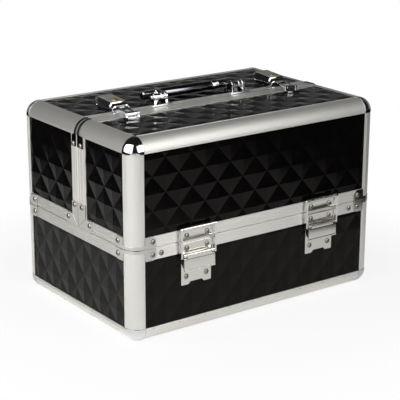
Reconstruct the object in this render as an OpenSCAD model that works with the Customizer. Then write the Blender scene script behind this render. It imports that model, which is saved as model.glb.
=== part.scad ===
// Two-way opening makeup train case.
// A deep base carries two lid halves on parallel arms. Each half lifts level to its own side and
// draws two trays out with it. Millimetres; origin at the bottom centre, front face towards -Y.

/* [Case] */
// Length of the case, left to right
case_w = 360; // [310:5:440]
// Depth of the case, front to rear
case_d = 242; // [225:1:300]
// Height of the closed case body
case_h = 240; // [230:5:300]
// Height of the base, up to the rim
base_h = 112; // [96:1:128]
// How far in front of the middle the lids part
seam_shift = 8.5; // [4:0.5:12]

/* [Extrusions and panels] */
// Face width of the rounded edge extrusions
edge_w = 17.5; // [16.9:0.1:21]
// Outer rounding of the edge extrusions
edge_r = 16.5; // [12:0.5:16.5]
// Wall thickness through an extrusion
wall_t = 6.5; // [6:0.1:8]
// Thickness of the laminated panels
panel_t = 4; // [3:0.1:4.4]
// Outer lip of an extrusion, proud of the panel
lip_t = 1.2; // [0.8:0.1:1.4]
// Width of the rim strips on each side of the split
rim_w = 13.6; // [12:0.1:18]
// Width of the front lid's seam strip
front_seam_w = 16.5; // [14:0.5:20]
// Width of the rear lid's seam strip
rear_seam_w = 13; // [12:0.5:20]
// Open line between the lids and between lid and base
part_gap = 0.6; // [0.4:0.1:1.2]
// How far the pressed corner caps reach past the width of the extrusions
cap_lap = 0.5; // [0.2:0.1:2]
// Sheet thickness of caps and brackets
cap_t = 1.2; // [0.8:0.1:1.6]

/* [Side latches] */
// Distance of the front and rear latches from the case ends
side_latch_in = 87.7; // [80:0.1:110]
// Width of a latch lever and its plates
latch_w = 43.7; // [36:0.1:54]
// Sheet thickness of the latch plates
latch_t = 1.2; // [0.8:0.1:1.6]
// Distance from the base rim down to the foot of a latch base plate
latch_tail = 53.3; // [48:0.1:60]
// Height of a lever's flap
lever_w = 14.6; // [12:0.1:17]

/* [Top latches] */
// Distance of the locking top latches from the case ends
top_latch_in = 61.5; // [58:0.5:68]
// Width of a top latch lever
top_lever_w = 24; // [20:0.5:28]
// Length of a top latch lever
top_lever_l = 40; // [34:0.5:50]
// Radius of the key cylinder
key_r = 4.2; // [3:0.1:5]

/* [Handle] */
// Distance of the handle ears' inner faces from the middle
handle_x = 48.5; // [44:0.5:60]
// Reach of the handle from its pins to the middle of the grip
handle_reach = 27; // [22:0.5:34]
// Thickness of the grip
grip_d = 12; // [10:0.5:14]
// Length of the black grip between the ferrules
grip_l = 78; // [60:1:82]

/* [Arms and trays] */
// Distance of the outer lid pivot behind the front lid's seam edge
lid_pivot_in = 20.5; // [20:0.5:26]
// Height of the edge extrusions' inner flanges above the lids' pivots
lid_pivot_drop = 8.5; // [8:0.5:12]
// Width of an arm
arm_w = 9; // [7:0.5:11]
// Thickness of an arm
arm_t = 2; // [1.5:0.1:2.2]
// Distance between the two pivots of a pair of arms
arm_pitch = 15; // [14:0.5:17]
// Distance of the outer base pivot behind the outer face
arm_inset = 23; // [22:0.5:30]
// Radius of the rivets in the arms
rivet_r = 2; // [1.5:0.1:2.5]
// Height of a tray
tray_h = 34; // [26:1:41]
// Wall thickness of a tray
tray_t = 1.8; // [1.4:0.1:2.4]
// Clear height between the trays
tray_gap = 6; // [4:0.5:8]

/* [Screws] */
// Radius of a screw head
screw_r = 3.3; // [2.6:0.1:3.6]
// Radius of a screw shank
shank_r = 1.5; // [1:0.1:1.8]

/* [Hidden] */
$fn = 48;
fit = 0.1;                              // clearance of pieces that are assembled tight
run = 0.3;                              // clearance of pieces that move past each other
channel_d = 5;                          // depth of the channels that hold the panels
panel_inset = edge_w - channel_d + 0.5; // a panel's edge, from the case corner
channel_w = panel_t + fit;
web_t = 3;                              // closed end of a strip's channel
cap_w = edge_w + cap_lap;               // reach of a corner cap along each edge
band_h = 4;                             // visible band of a rim corner bracket
half_w = case_w / 2;
half_d = case_d / 2;
wall_in = half_w - wall_t;              // inner face of the end walls
split_lo = base_h;                      // top of the base rim
split_hi = base_h + part_gap;           // bottom of the lids
front_dep = half_d - seam_shift - part_gap / 2;
rear_dep = half_d + seam_shift - part_gap / 2;
seam_in = -seam_shift + part_gap / 2;   // the rear lid's edge at the seam
lining_t = 2.5;                         // floor and walls of the lining

// Arms: a pivot's height above the base pivots sets its place along the arm.
tray_w = 2 * (wall_in - 6.5);           // trays stop 6.5 inside the end walls, for the arms
arm_x = tray_w / 2 + 0.8;               // inner face of the arms
base_pivot_z = base_h - 8;
lid_pivot_z = case_h - edge_w - lid_pivot_drop;
arm_lean = atan2(front_dep - lid_pivot_in - arm_inset, lid_pivot_z - base_pivot_z);
lower_tray_z = split_hi + 2;
upper_tray_z = lower_tray_z + tray_h + tray_gap;
lower_pivot_r = (lower_tray_z + 0.5 * tray_h - base_pivot_z) / cos(arm_lean);
upper_pivot_r = (upper_tray_z + 0.5 * tray_h - base_pivot_z) / cos(arm_lean);
lid_pivot_r = (lid_pivot_z - base_pivot_z) / cos(arm_lean);
tray_pivots = [lower_pivot_r, upper_pivot_r];
plate_in = arm_x + arm_t + 0.5;         // inner face of the arm plates

// Side latch, measured outwards from the strips and upwards from the split.
side_latch_x = half_w - side_latch_in;
latch_screw = latch_w / 2 - 7.6;        // screws of a latch plate, from its middle
lever_pin_z = split_lo - 15.6;
lever_pin_v = 4.4;
hasp_pin_z = split_hi + 15;
hasp_pin_v = 3.9;
knuckle_r = 2.6;
side_pin_r = 1.3;
hasp_in = latch_w / 2 + 0.5;            // inner face of a hasp's arms
hasp_arm = 2.3;

// Top latch: its hasp turns on the front lid, its lever on the rear lid.
top_latch_x = half_w - top_latch_in;
top_pin_y = seam_in + top_lever_l - 4;
top_pin_z = case_h + 5;
top_lever_y0 = seam_in + 1.2;
top_hasp_y = -seam_shift - part_gap / 2 - front_seam_w - 4;
top_hasp_z = case_h + 3.6;
key_y = 6;

// Handle: ears stand on the rear lid just behind the seam.
handle_y = 4;
handle_z = case_h + 9.5;
ear_t = 3;
ear_gap = 13.4;
grip_sink = 3.4;                        // the grip lies this much lower than the pins

// ---------------------------------------------------------------- placing

// Both ends of the case, left and right.
module both_ends() { children(); mirror([1, 0, 0]) children(); }

// A half of the case, drawn with y running inwards from its outer face.
module in_front() { translate([0, -half_d, 0]) children(); }
module in_rear() { translate([0, half_d, 0]) mirror([0, 1, 0]) children(); }
module both_faces() { in_front() children(); in_rear() children(); }

// A corner of the case, drawn with x and y running inwards from the left end of an outer face.
module at_left_corner() { translate([-half_w, 0, 0]) children(); }

// A shape drawn upside down from the case top.
module from_top() { translate([0, 0, case_h]) mirror([0, 0, 1]) children(); }

// Extrude a section along X, centred, with the section's x along Y and its y along Z.
module along_x(length) { translate([-length / 2, 0, 0]) rotate([90, 0, 90]) linear_extrude(length) children(); }

// Extrude a section along Y from y0, with the section's x along X and its y along Z.
module along_y(y0, length) { translate([0, y0 + length, 0]) rotate([90, 0, 0]) linear_extrude(length) children(); }

// A disc or ring axis along X, between two x values.
module rod_x(r, x0, x1) { translate([x0, 0, 0]) rotate([0, 90, 0]) cylinder(r = r, h = x1 - x0); }

// ---------------------------------------------------------------- extrusions

// Rounded edge extrusion: an L with a channel for a panel in the end of each arm.
module edge_section() {
    difference() {
        intersection() {
            union() {
                square([edge_w, wall_t]);
                square([wall_t, edge_w]);
            }
            union() {
                translate([edge_r, edge_r]) circle(edge_r);
                translate([edge_r, 0]) square([edge_w, edge_w]);
                translate([0, edge_r]) square([edge_w, edge_w]);
            }
        }
        translate([edge_w - channel_d, lip_t]) square([channel_d + 1, channel_w]);
        translate([lip_t, edge_w - channel_d]) square([channel_w, channel_d + 1]);
    }
}

// Flat strip extrusion of width w, outer face on x = 0, channel open towards +y.
module strip_section(w) {
    difference() {
        square([wall_t, w]);
        translate([lip_t, web_t]) square([channel_w, w]);
    }
}

// Cube with its three edges at the origin rounded, so that they meet in a ball.
module ball_corner(size, r) {
    intersection() {
        cube(size);
        translate([r, r, r]) union() {
            sphere(r);
            cylinder(r = r, h = size);
            rotate([0, 90, 0]) cylinder(r = r, h = size);
            rotate([-90, 0, 0]) cylinder(r = r, h = size);
            translate([0, 0, -r]) cube(size);
            translate([0, -r, 0]) cube(size);
            translate([-r, 0, 0]) cube(size);
        }
    }
}

// Pressed ball cap over a case corner.
module corner_cap() {
    difference() {
        ball_corner(cap_w, edge_r);
        translate([cap_t, cap_t, cap_t]) ball_corner(cap_w, edge_r - cap_t);
    }
}

// Curved band and two flat ears that tie the rim strips to a corner; z = 0 is at the split.
module rim_bracket() {
    ear_l = 14.5;
    linear_extrude(band_h - fit) edge_section();
    for (turn = [0, 1]) mirror([turn, -turn, 0]) {
        translate([edge_w - 4.4, -cap_t, 0]) cube([4.4, cap_t + 0.6, band_h - fit]);
        translate([edge_w, -cap_t, 0]) difference() {
            cube([ear_l, cap_t, rim_w]);
            translate([ear_l, 0, rim_w]) rotate([0, 45, 0]) cube([4, 9, 4], center = true);
        }
    }
}

// ---------------------------------------------------------------- panels

// Outline of a panel, with the listed corners cut away where a ball cap's round needs room.
// A corner is [0 or 1, 0 or 1]: low or high along each side.
module panel_outline(x0, x1, y0, y1, corners) {
    under_cap = edge_r + fit - panel_inset;
    past_cap = cap_w + 2 * fit - panel_inset;
    difference() {
        translate([x0, y0]) square([x1 - x0, y1 - y0]);
        for (c = corners) translate([c[0] ? x1 : x0, c[1] ? y1 : y0]) mirror([c[0], 0]) mirror([0, c[1]])
            translate([-1, -1]) {
                square([under_cap + 1, past_cap + 1]);
                square([past_cap + 1, under_cap + 1]);
            }
    }
}

// Panel of a long face, its outer face recessed by the lip.
module face_panel(z0, z1, corners) {
    w = half_w - panel_inset;
    translate([0, lip_t + panel_t, 0]) rotate([90, 0, 0]) linear_extrude(panel_t)
        panel_outline(-w, w, z0, z1, corners);
}

// Panel of the left end, from y0 to y1.
module end_panel(y0, y1, z0, z1, corners) {
    translate([-half_w + lip_t, 0, 0]) rotate([90, 0, 90]) linear_extrude(panel_t)
        panel_outline(y0, y1, z0, z1, corners);
}

base_panel_top = split_lo - web_t - fit;
lid_panel_foot = split_hi + web_t + fit;

// Edge of a lid's panels inside the channel of its seam strip.
function seam_edge(dep, seam_w) = dep - seam_w + channel_d - 0.5;

// ---------------------------------------------------------------- screws

// Pan-head screw that points along +y, its head's seat at y = 0.
module screw() {
    rotate([90, 0, 0]) {
        cylinder(r = screw_r, h = 0.7);
        translate([0, 0, 0.7]) cylinder(r1 = screw_r, r2 = screw_r * 0.62, h = 0.8);
        translate([0, 0, -2.2]) cylinder(r = shank_r, h = 2.3);
    }
}

// Cut for the same screw's shank.
module screw_cut() { rotate([-90, 0, 0]) translate([0, 0, -6]) cylinder(r = shank_r + fit, h = 8.4); }

// Places children(0) at each screw of a long face: p = [x, z, seat], seat outwards.
module face_screws(points) { for (p = points) translate([p[0], -p[2], p[1]]) children(); }

// Places children at each screw of the left end: p = [y, z, seat].
module end_screws(points) {
    for (p = points) translate([-half_w - p[2], p[0], p[1]]) rotate([0, 0, -90]) children();
}

ear_x = half_w - edge_w - 9.5;
ear_y = edge_w + 9.5;
rim_lo_z = split_lo - 7;
rim_hi_z = split_hi + 7.6;

base_face_points = [
    for (s = [-1, 1]) each [
        [s * ear_x, rim_lo_z, cap_t],
        [s * (ear_x - 12.5), rim_lo_z, 0],
        for (k = [-1, 1]) each [
            [s * side_latch_x + k * latch_screw, split_lo - 8.6, latch_t],
            [s * side_latch_x + k * latch_screw, split_lo - 43, latch_t - lip_t]]]];
base_end_points = [[ear_y, rim_lo_z, cap_t]];
lid_face_points = [
    for (s = [-1, 1]) each [
        [s * ear_x, rim_hi_z, cap_t],
        for (k = [-1, 1]) [s * side_latch_x + k * latch_screw, split_hi + 6, latch_t]]];

function lid_end_points(dep, seam_w) = [
    [ear_y, rim_hi_z, cap_t],
    [dep - seam_w - 8.5, rim_hi_z, cap_t],
    [dep - seam_w / 2 - 0.4, split_hi + 25.4, cap_t],
    [dep - seam_w / 2, case_h - 28, cap_t]];

module base_screw_places() {
    both_faces() {
        face_screws(base_face_points) children();
        both_ends() end_screws(base_end_points) children();
    }
}

module lid_screw_places(dep, seam_w) {
    face_screws(lid_face_points) children();
    both_ends() end_screws(lid_end_points(dep, seam_w)) children();
}

// ---------------------------------------------------------------- base

panel_black = [0.05, 0.05, 0.055];
alloy = [0.80, 0.81, 0.82];
chrome = [0.88, 0.88, 0.90];

module base_face_panel() {
    color(panel_black) difference() {
        face_panel(panel_inset, base_panel_top, [[0, 0], [1, 0]]);
        face_screws(base_face_points) screw_cut();
    }
}

module base_end_panels() {
    far = case_d - panel_inset;
    color(panel_black) both_ends() in_front()
        end_panel(panel_inset, far, panel_inset, base_panel_top, [[0, 0], [1, 0]]);
}

// The floor's edges lie in the channels; its middle is flush with the bottom extrusions.
module base_floor_panel() {
    w = half_w - panel_inset;
    d = half_d - panel_inset;
    color(panel_black) {
        translate([0, 0, lip_t]) linear_extrude(panel_t)
            panel_outline(-w, w, -d, d, [[0, 0], [1, 0], [0, 1], [1, 1]]);
        translate([-w + channel_d, -d + channel_d, 0])
            cube([2 * (w - channel_d), 2 * (d - channel_d), lip_t + 1]);
    }
}

// Foam floor pad with four thin fabric-faced walls; its foot clears the round of the ball caps.
module base_lining() {
    w = wall_in - run;
    d = half_d - wall_t - run;
    relief = 4;
    color([0.07, 0.07, 0.08]) translate([0, 0, wall_t]) difference() {
        translate([-w, -d, 0]) cube([2 * w, 2 * d, base_h - wall_t - 18]);
        translate([-w + lining_t, -d + lining_t, lining_t])
            cube([2 * (w - lining_t), 2 * (d - lining_t), base_h]);
        for (x = [-1, 1], y = [-1, 1]) translate([x * w, y * d, 0]) cube(2 * relief, center = true);
    }
}

module base_corner_profiles() {
    color(alloy) both_ends() both_faces() at_left_corner()
        translate([0, 0, cap_w]) linear_extrude(split_lo - band_h - cap_w) edge_section();
}

module base_bottom_profiles() {
    color(alloy) {
        both_faces() along_x(case_w - 2 * cap_w) edge_section();
        both_ends() in_front() at_left_corner() along_y(cap_w, case_d - 2 * cap_w) edge_section();
    }
}

module base_rim_strips() {
    color(alloy) difference() {
        union() {
            both_faces() translate([0, 0, split_lo]) mirror([0, 0, 1])
                along_x(case_w - 2 * edge_w) strip_section(rim_w);
            both_ends() in_front() at_left_corner() translate([0, 0, split_lo]) mirror([0, 0, 1])
                along_y(edge_w, case_d - 2 * edge_w) strip_section(rim_w);
        }
        base_screw_places() screw_cut();
    }
}

module base_corner_caps() {
    color(chrome) both_ends() both_faces() at_left_corner() corner_cap();
}

module base_rim_brackets() {
    color(chrome) difference() {
        both_ends() both_faces() at_left_corner()
            translate([0, 0, split_lo]) mirror([0, 0, 1]) rim_bracket();
        base_screw_places() screw_cut();
    }
}

module base_screws() { color(chrome) base_screw_places() screw(); }

// ---------------------------------------------------------------- arms

arm_y = arm_inset;                      // outer base pivot, from the outer face
lid_pivot_y = arm_inset + lid_pivot_r * sin(arm_lean);

// Plate on the left end wall that carries two pivots, the first at y and z.
module arm_plate(y, z, pad_end) {
    r = 6.4;
    difference() {
        union() {
            translate([-wall_in, y - r, z - r]) cube([wall_in - plate_in, arm_pitch + 2 * r - 2.2, 2 * r]);
            if (pad_end > 0) translate([-half_w + lip_t + panel_t, y - r, z - r])
                cube([wall_t, pad_end - y + r, 2 * r]);
        }
        for (k = [0, 1]) translate([0, y + k * arm_pitch, z])
            rod_x(rivet_r + fit, -half_w - 1, -plate_in + 1);
        translate([-plate_in, 0, 0]) cube([99, case_d, case_h]);
    }
}

module base_arm_plates() {
    color(chrome) both_ends() both_faces() arm_plate(arm_y, base_pivot_z, 0);
}

module lid_arm_plates(dep, seam_w) {
    pad_end = min(dep - seam_w - 0.3, lid_pivot_y + arm_pitch + 4.2);
    color(chrome) both_ends() arm_plate(lid_pivot_y, lid_pivot_z, pad_end);
}

// One arm at the left end, with its four rivets, from a base pivot at y.
module arm(y) {
    inner = -arm_x - arm_t;
    translate([0, y, base_pivot_z]) rotate([-arm_lean, 0, 0]) {
        difference() {
            union() {
                rod_x(arm_w / 2, inner, -arm_x);
                translate([0, 0, lid_pivot_r]) rod_x(arm_w / 2, inner, -arm_x);
                translate([inner, -arm_w / 2, 0]) cube([arm_t, arm_w, lid_pivot_r]);
            }
            for (r = [0, lower_pivot_r, upper_pivot_r, lid_pivot_r])
                translate([0, 0, r]) rod_x(rivet_r + fit, inner - 1, -arm_x + 1);
        }
        for (r = [0, lid_pivot_r]) translate([0, 0, r]) {
            rod_x(rivet_r, -wall_in + run, -arm_x);
            rod_x(rivet_r + 1.6, -arm_x, -arm_x + 1.3);
        }
        for (r = tray_pivots) translate([0, 0, r]) {
            rod_x(rivet_r, inner, -tray_w / 2 + tray_t);
            rod_x(rivet_r + 1.6, inner - 1.2, inner);
            rod_x(rivet_r + 1.6, -tray_w / 2 + tray_t, -tray_w / 2 + tray_t + 1.2);
        }
    }
}

module outer_arms() { color(alloy) both_ends() arm(arm_y); }
module inner_arms() { color(alloy) both_ends() arm(arm_y + arm_pitch); }

// ---------------------------------------------------------------- trays

tray_y = wall_t + 2.5;

// Open tray of depth d at height z, whose end walls turn on the rivets at radius pivot_r.
module tray(d, z, pivot_r, ribs) {
    w = tray_w - 2 * tray_t;
    pivot_y = arm_y + pivot_r * sin(arm_lean);
    color([0.09, 0.09, 0.10]) difference() {
        translate([-tray_w / 2, tray_y, z]) difference() {
            cube([tray_w, d, tray_h]);
            for (k = [0 : ribs]) translate([tray_t + k * (w + tray_t) / (ribs + 1), tray_t, tray_t])
                cube([(w - ribs * tray_t) / (ribs + 1), d - 2 * tray_t, tray_h]);
        }
        both_ends() for (k = [0, 1])
            translate([0, pivot_y + k * arm_pitch, base_pivot_z + pivot_r * cos(arm_lean)])
                rod_x(rivet_r + fit, -tray_w / 2 - 1, -tray_w / 2 + tray_t + 1);
    }
}

// Loose dividers that part the upper tray into four.
module dividers(d) {
    t = 1.6;
    h = tray_h - 6;
    span = tray_w - 2 * tray_t;
    color([0.12, 0.12, 0.13]) translate([0, tray_y + tray_t, upper_tray_z + tray_t])
        for (k = [-1, 0, 1]) translate([k * span / 4 - t / 2, run, fit]) cube([t, d - 2 * tray_t - 2 * run, h]);
}

front_tray_d = front_dep - tray_y - 2.5;
rear_tray_d = rear_dep - tray_y - 2.5;

// ---------------------------------------------------------------- lid halves

module lid_top_panel(dep, seam_w) {
    w = half_w - panel_inset;
    color(panel_black) translate([0, 0, case_h - lip_t - panel_t]) linear_extrude(panel_t)
        panel_outline(-w, w, panel_inset, seam_edge(dep, seam_w), [[0, 0], [1, 0]]);
}

module lid_face_panel() {
    color(panel_black) difference() {
        face_panel(lid_panel_foot, case_h - panel_inset, [[0, 1], [1, 1]]);
        face_screws(lid_face_points) screw_cut();
    }
}

module lid_end_panels(dep, seam_w) {
    color(panel_black) difference() {
        both_ends() end_panel(panel_inset, seam_edge(dep, seam_w), lid_panel_foot,
            case_h - panel_inset, [[0, 1]]);
        lid_screw_places(dep, seam_w) screw_cut();
    }
}

module lid_edge_profiles(dep, seam_w) {
    color(alloy) {
        both_ends() at_left_corner() translate([0, 0, split_hi + band_h])
            linear_extrude(case_h - cap_w - split_hi - band_h) edge_section();
        from_top() along_x(case_w - 2 * cap_w) edge_section();
        both_ends() at_left_corner() from_top() along_y(cap_w, dep - seam_w - cap_w) edge_section();
    }
}

module lid_strips(dep, seam_w) {
    seam_top = case_h - edge_w;
    color(alloy) difference() {
        union() {
            translate([0, 0, split_hi]) along_x(case_w - 2 * edge_w) strip_section(rim_w);
            both_ends() at_left_corner() {
                translate([0, 0, split_hi]) along_y(edge_w, dep - seam_w - edge_w) strip_section(rim_w);
                translate([0, dep, split_hi]) linear_extrude(seam_top - split_hi)
                    mirror([0, 1, 0]) strip_section(seam_w);
            }
            translate([0, dep, case_h]) rotate([0, 0, 180]) rotate([0, 90, 0])
                linear_extrude(case_w - 2 * edge_w, center = true) strip_section(seam_w);
        }
        lid_screw_places(dep, seam_w) screw_cut();
    }
}

// Corner caps and the caps that carry each seam strip over the top edge, with their screwed ears.
module lid_caps(dep, seam_w) {
    ear_w = seam_w / 2;
    color(chrome) difference() {
        both_ends() at_left_corner() {
            from_top() corner_cap();
            from_top() along_y(dep - seam_w, seam_w) edge_section();
            translate([-cap_t, dep - seam_w / 2 - ear_w / 2, case_h - 32]) cube([cap_t, ear_w, 18]);
            translate([-cap_t, dep - seam_w / 2 - ear_w / 2, case_h - edge_w])
                cube([cap_t + 0.8, ear_w, 3.6]);
        }
        lid_screw_places(dep, seam_w) screw_cut();
    }
}

// Rim corner brackets and the L brackets at the foot of the seam.
module lid_brackets(dep, seam_w) {
    leg = 28;
    color(chrome) difference() {
        both_ends() at_left_corner() {
            translate([0, 0, split_hi]) rim_bracket();
            translate([-cap_t, 0, split_hi]) {
                translate([0, dep - seam_w - 12.5, 0]) cube([cap_t, seam_w + 12.5, rim_w]);
                translate([0, dep - seam_w + 0.5, 0]) cube([cap_t, seam_w - 0.5, leg + 2]);
            }
        }
        lid_screw_places(dep, seam_w) screw_cut();
    }
}

module lid_screws(dep, seam_w) { color(chrome) lid_screw_places(dep, seam_w) screw(); }

// ---------------------------------------------------------------- side latches

// Latch places on a face, drawn around x = 0 with y outwards negative from the strips.
module side_latches() { for (s = [-1, 1]) translate([s * side_latch_x, 0, 0]) children(); }

module side_base_plate() {
    w = latch_w - 0.4;
    foot = split_lo - latch_tail;
    step = split_lo - rim_w - fit;
    knuckle = 4.6;
    difference() {
        union() {
            translate([-w / 2, lip_t - latch_t, foot]) cube([w, latch_t, step - foot]);
            translate([-w / 2, -latch_t, step - 2]) cube([w, lip_t + latch_t, 2]);
            translate([-w / 2, -latch_t, step - 2]) cube([w, latch_t, split_lo - 2.4 - step + 2]);
            for (s = [-1, 1]) translate([s * (w - knuckle) / 2, 0, lever_pin_z]) {
                translate([-knuckle / 2, -lever_pin_v, -knuckle_r]) cube([knuckle, lever_pin_v, 2 * knuckle_r]);
                translate([0, -lever_pin_v, 0]) rod_x(knuckle_r, -knuckle / 2, knuckle / 2);
            }
            translate([0, -lever_pin_v, lever_pin_z]) rod_x(side_pin_r, -w / 2, w / 2);
        }
        translate([-8.5, -3, foot - 1]) cube([17, 9, 4]);
        for (k = [-1, 1], z = [split_lo - 8.6, split_lo - 43])
            translate([k * latch_screw, 0, z]) screw_cut();
    }
}

module side_latch_base_plates() { color(chrome) both_faces() side_latches() side_base_plate(); }

// Lever: a folded flap with side cheeks and a curled finger lip, turning on the base plate's pin.
module side_lever() {
    w = latch_w - 0.4;
    middle = w - 2 * 4.6 - 2 * run;
    top = lever_pin_z - knuckle_r - 0.6;
    front = lever_pin_v + 2;
    sheet = 1.4;
    color(chrome) difference() {
        union() {
            translate([0, -lever_pin_v, lever_pin_z]) rod_x(knuckle_r, -middle / 2, middle / 2);
            translate([-middle / 2, -front, top - 1]) cube([middle, sheet, lever_pin_z - top + 1]);
            translate([-w / 2, -front, top - lever_w]) cube([w, sheet, lever_w]);
            for (s = [-1, 1]) translate([s * (w - sheet) / 2 - sheet / 2, -front, top - lever_w + 1.4])
                cube([sheet, front - 0.4, lever_w - 1.4]);
            translate([0, -front - 0.2, top - lever_w]) rod_x(1.6, -w / 2, w / 2);
        }
        translate([0, -lever_pin_v, lever_pin_z]) rod_x(side_pin_r + 0.2, -w, w);
    }
}

// Lid plate with a rolled barrel along its top.
module side_lid_plate() {
    w = latch_w - 0.4;
    difference() {
        union() {
            translate([-w / 2, -latch_t, split_hi + 1.4]) cube([w, latch_t, hasp_pin_z - split_hi - 1.4]);
            translate([-w / 2, -hasp_pin_v, hasp_pin_z - 1.2]) cube([w, hasp_pin_v, 2.4]);
            translate([0, -hasp_pin_v, hasp_pin_z]) rod_x(knuckle_r, -w / 2, w / 2);
        }
        translate([0, -hasp_pin_v, hasp_pin_z]) rod_x(side_pin_r + 0.2, -w, w);
        for (k = [-1, 1]) translate([k * latch_screw, 0, split_hi + 6]) screw_cut();
    }
}

// Hasp: a rod through the lid plate's barrel with a flat arm down each side of the lever.
module side_hasp() {
    drop = hasp_pin_z - lever_pin_z + 4;
    color(chrome) translate([0, -hasp_pin_v, hasp_pin_z]) {
        rod_x(side_pin_r, -hasp_in - hasp_arm, hasp_in + hasp_arm);
        both_ends() translate([-hasp_in - hasp_arm, 0, 0]) {
            rod_x(2.2, 0, hasp_arm);
            translate([0, -1.6, -drop]) cube([hasp_arm, 3.2, drop]);
            translate([0, 0, -drop]) rod_x(1.6, 0, hasp_arm);
        }
    }
}

// ---------------------------------------------------------------- top latches

// Rear half: base plate on strip and panel with two lugs and the lever's pin.
module top_base_plate() {
    w = top_lever_w - 5;
    strip_end = seam_in + rear_seam_w;
    back = top_pin_y + 5;
    translate([-w / 2, seam_in + 0.6, case_h]) cube([w, rear_seam_w - 0.4, latch_t]);
    translate([-w / 2, strip_end + fit, case_h - lip_t]) cube([w, back - strip_end, lip_t + latch_t]);
    for (s = [-1, 1]) translate([s * (w - 3) / 2 - 1.5, top_pin_y, case_h]) {
        translate([0, -2.4, 0]) cube([3, 4.8, top_pin_z - case_h]);
        translate([0, 0, top_pin_z - case_h]) rod_x(2.4, 0, 3);
    }
    translate([0, top_pin_y, top_pin_z]) rod_x(1.5, -w / 2 - 2.9, w / 2 + 2.9);
}

// Lever: a lid-like folded shell, higher at the tail, that turns on the pin at its rear.
module top_lever(x) {
    sheet = 1.6;
    tail = top_pin_y + 3.2;
    low = case_h + latch_t + 0.8;
    rise = case_h + 11.5;
    color(chrome) translate([x, 0, 0]) difference() {
        rotate([90, 0, 90]) linear_extrude(top_lever_w, center = true)
            polygon([[top_lever_y0, low + 5.2], [top_lever_y0, rise - 1.5], [top_lever_y0 + 1.5, rise],
                [tail - 2, rise + 3.6], [tail, rise + 2], [tail, top_pin_z],
                [tail - 1, top_pin_z - 2.2], [top_pin_y, low], [top_lever_y0 + 8, low]]);
        rotate([90, 0, 90]) linear_extrude(top_lever_w - 2 * sheet, center = true)
            polygon([[top_lever_y0 - 1, 0], [top_lever_y0 - 1, rise - sheet],
                [top_lever_y0 + 1.5, rise - sheet], [tail + 1, rise + 2], [tail + 1, 0]]);
        translate([0, top_pin_y, top_pin_z]) rod_x(1.7, -top_lever_w, top_lever_w);
        translate([0, key_y, case_h]) cylinder(r = key_r + 0.15, h = 40);
    }
}

// Front half: plate on the front panel with two lugs and the hasp's pin.
module top_hasp_plate() {
    w = top_lever_w - 5;
    translate([-w / 2, top_hasp_y - 9, case_h - lip_t]) cube([w, 12, lip_t + latch_t]);
    for (s = [-1, 1]) translate([s * (w - 2.6) / 2 - 1.3, top_hasp_y, case_h]) {
        translate([0, -2.6, 0]) cube([2.6, 5.2, top_hasp_z - case_h]);
        translate([0, 0, top_hasp_z - case_h]) rod_x(2.6, 0, 2.6);
    }
    translate([0, top_hasp_y, top_hasp_z]) rod_x(1.2, -w / 2, w / 2);
}

// Hasp: a plate that rises from its pin over the seam and ends in a cross bar under the lever.
module top_hasp(x) {
    w = top_lever_w - 5 - 2 * 2.6 - 2 * run;
    reach = seam_in + 4.6 - top_hasp_y;
    lift = 4.6;
    slope = atan2(lift, reach);
    color(chrome) translate([x, top_hasp_y, top_hasp_z]) difference() {
        union() {
            rod_x(2.4, -w / 2, w / 2);
            rotate([slope, 0, 0]) translate([-w / 2, 0, -0.9]) cube([w, reach, 1.8]);
            translate([0, reach, lift]) rod_x(1.7, -w / 2 - 1.4, w / 2 + 1.4);
        }
        rod_x(1.4, -w, w);
        rotate([slope, 0, 0]) translate([-w / 2 + 3, 6, -5]) cube([w - 6, reach - 11, 10]);
    }
}

// Brass cylinder in the lever's top, with a straight keyway.
module key_cylinder(x) {
    top = case_h + 14.2;
    color([0.80, 0.62, 0.28]) translate([x, key_y, 0]) difference() {
        translate([0, 0, top - 6]) cylinder(r = key_r, h = 6);
        translate([-0.6, -key_r * 0.6, top - 2]) cube([1.2, key_r * 1.2, 3]);
    }
}

module front_lid_latch_plates() {
    color(chrome) {
        in_front() side_latches() side_lid_plate();
        both_ends() translate([-top_latch_x, 0, 0]) top_hasp_plate();
    }
}

module rear_lid_latch_plates() {
    color(chrome) {
        in_rear() side_latches() side_lid_plate();
        both_ends() translate([-top_latch_x, 0, 0]) top_base_plate();
    }
}

// ---------------------------------------------------------------- handle

ear_mid = handle_x + ear_t + ear_gap / 2; // middle of the gap between a bracket's ears

// Cast foot with two ears and a pin, on the rear strip and panel.
module handle_bracket() {
    y0 = seam_in + 1;
    y1 = handle_y + 9;
    strip_end = seam_in + rear_seam_w;
    translate([-handle_x - 2 * ear_t - ear_gap - 5, y0, case_h])
        cube([2 * ear_t + ear_gap + 9, strip_end - y0, 2.4]);
    translate([-handle_x - 2 * ear_t - ear_gap - 5, strip_end + fit, case_h - lip_t])
        cube([2 * ear_t + ear_gap + 9, y1 - strip_end, lip_t + 2.4]);
    for (x = [-handle_x - ear_t, -handle_x - 2 * ear_t - ear_gap]) {
        translate([x, handle_y - 5.6, case_h + 1]) cube([ear_t, 11.2, handle_z - case_h - 1]);
        translate([x, handle_y, handle_z]) rod_x(5.6, 0, ear_t);
    }
    translate([0, handle_y, handle_z]) rod_x(1.8, -handle_x - 2 * ear_t - ear_gap - 2, -handle_x - 0.4);
}

module handle_brackets() { color(chrome) both_ends() handle_bracket(); }

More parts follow.
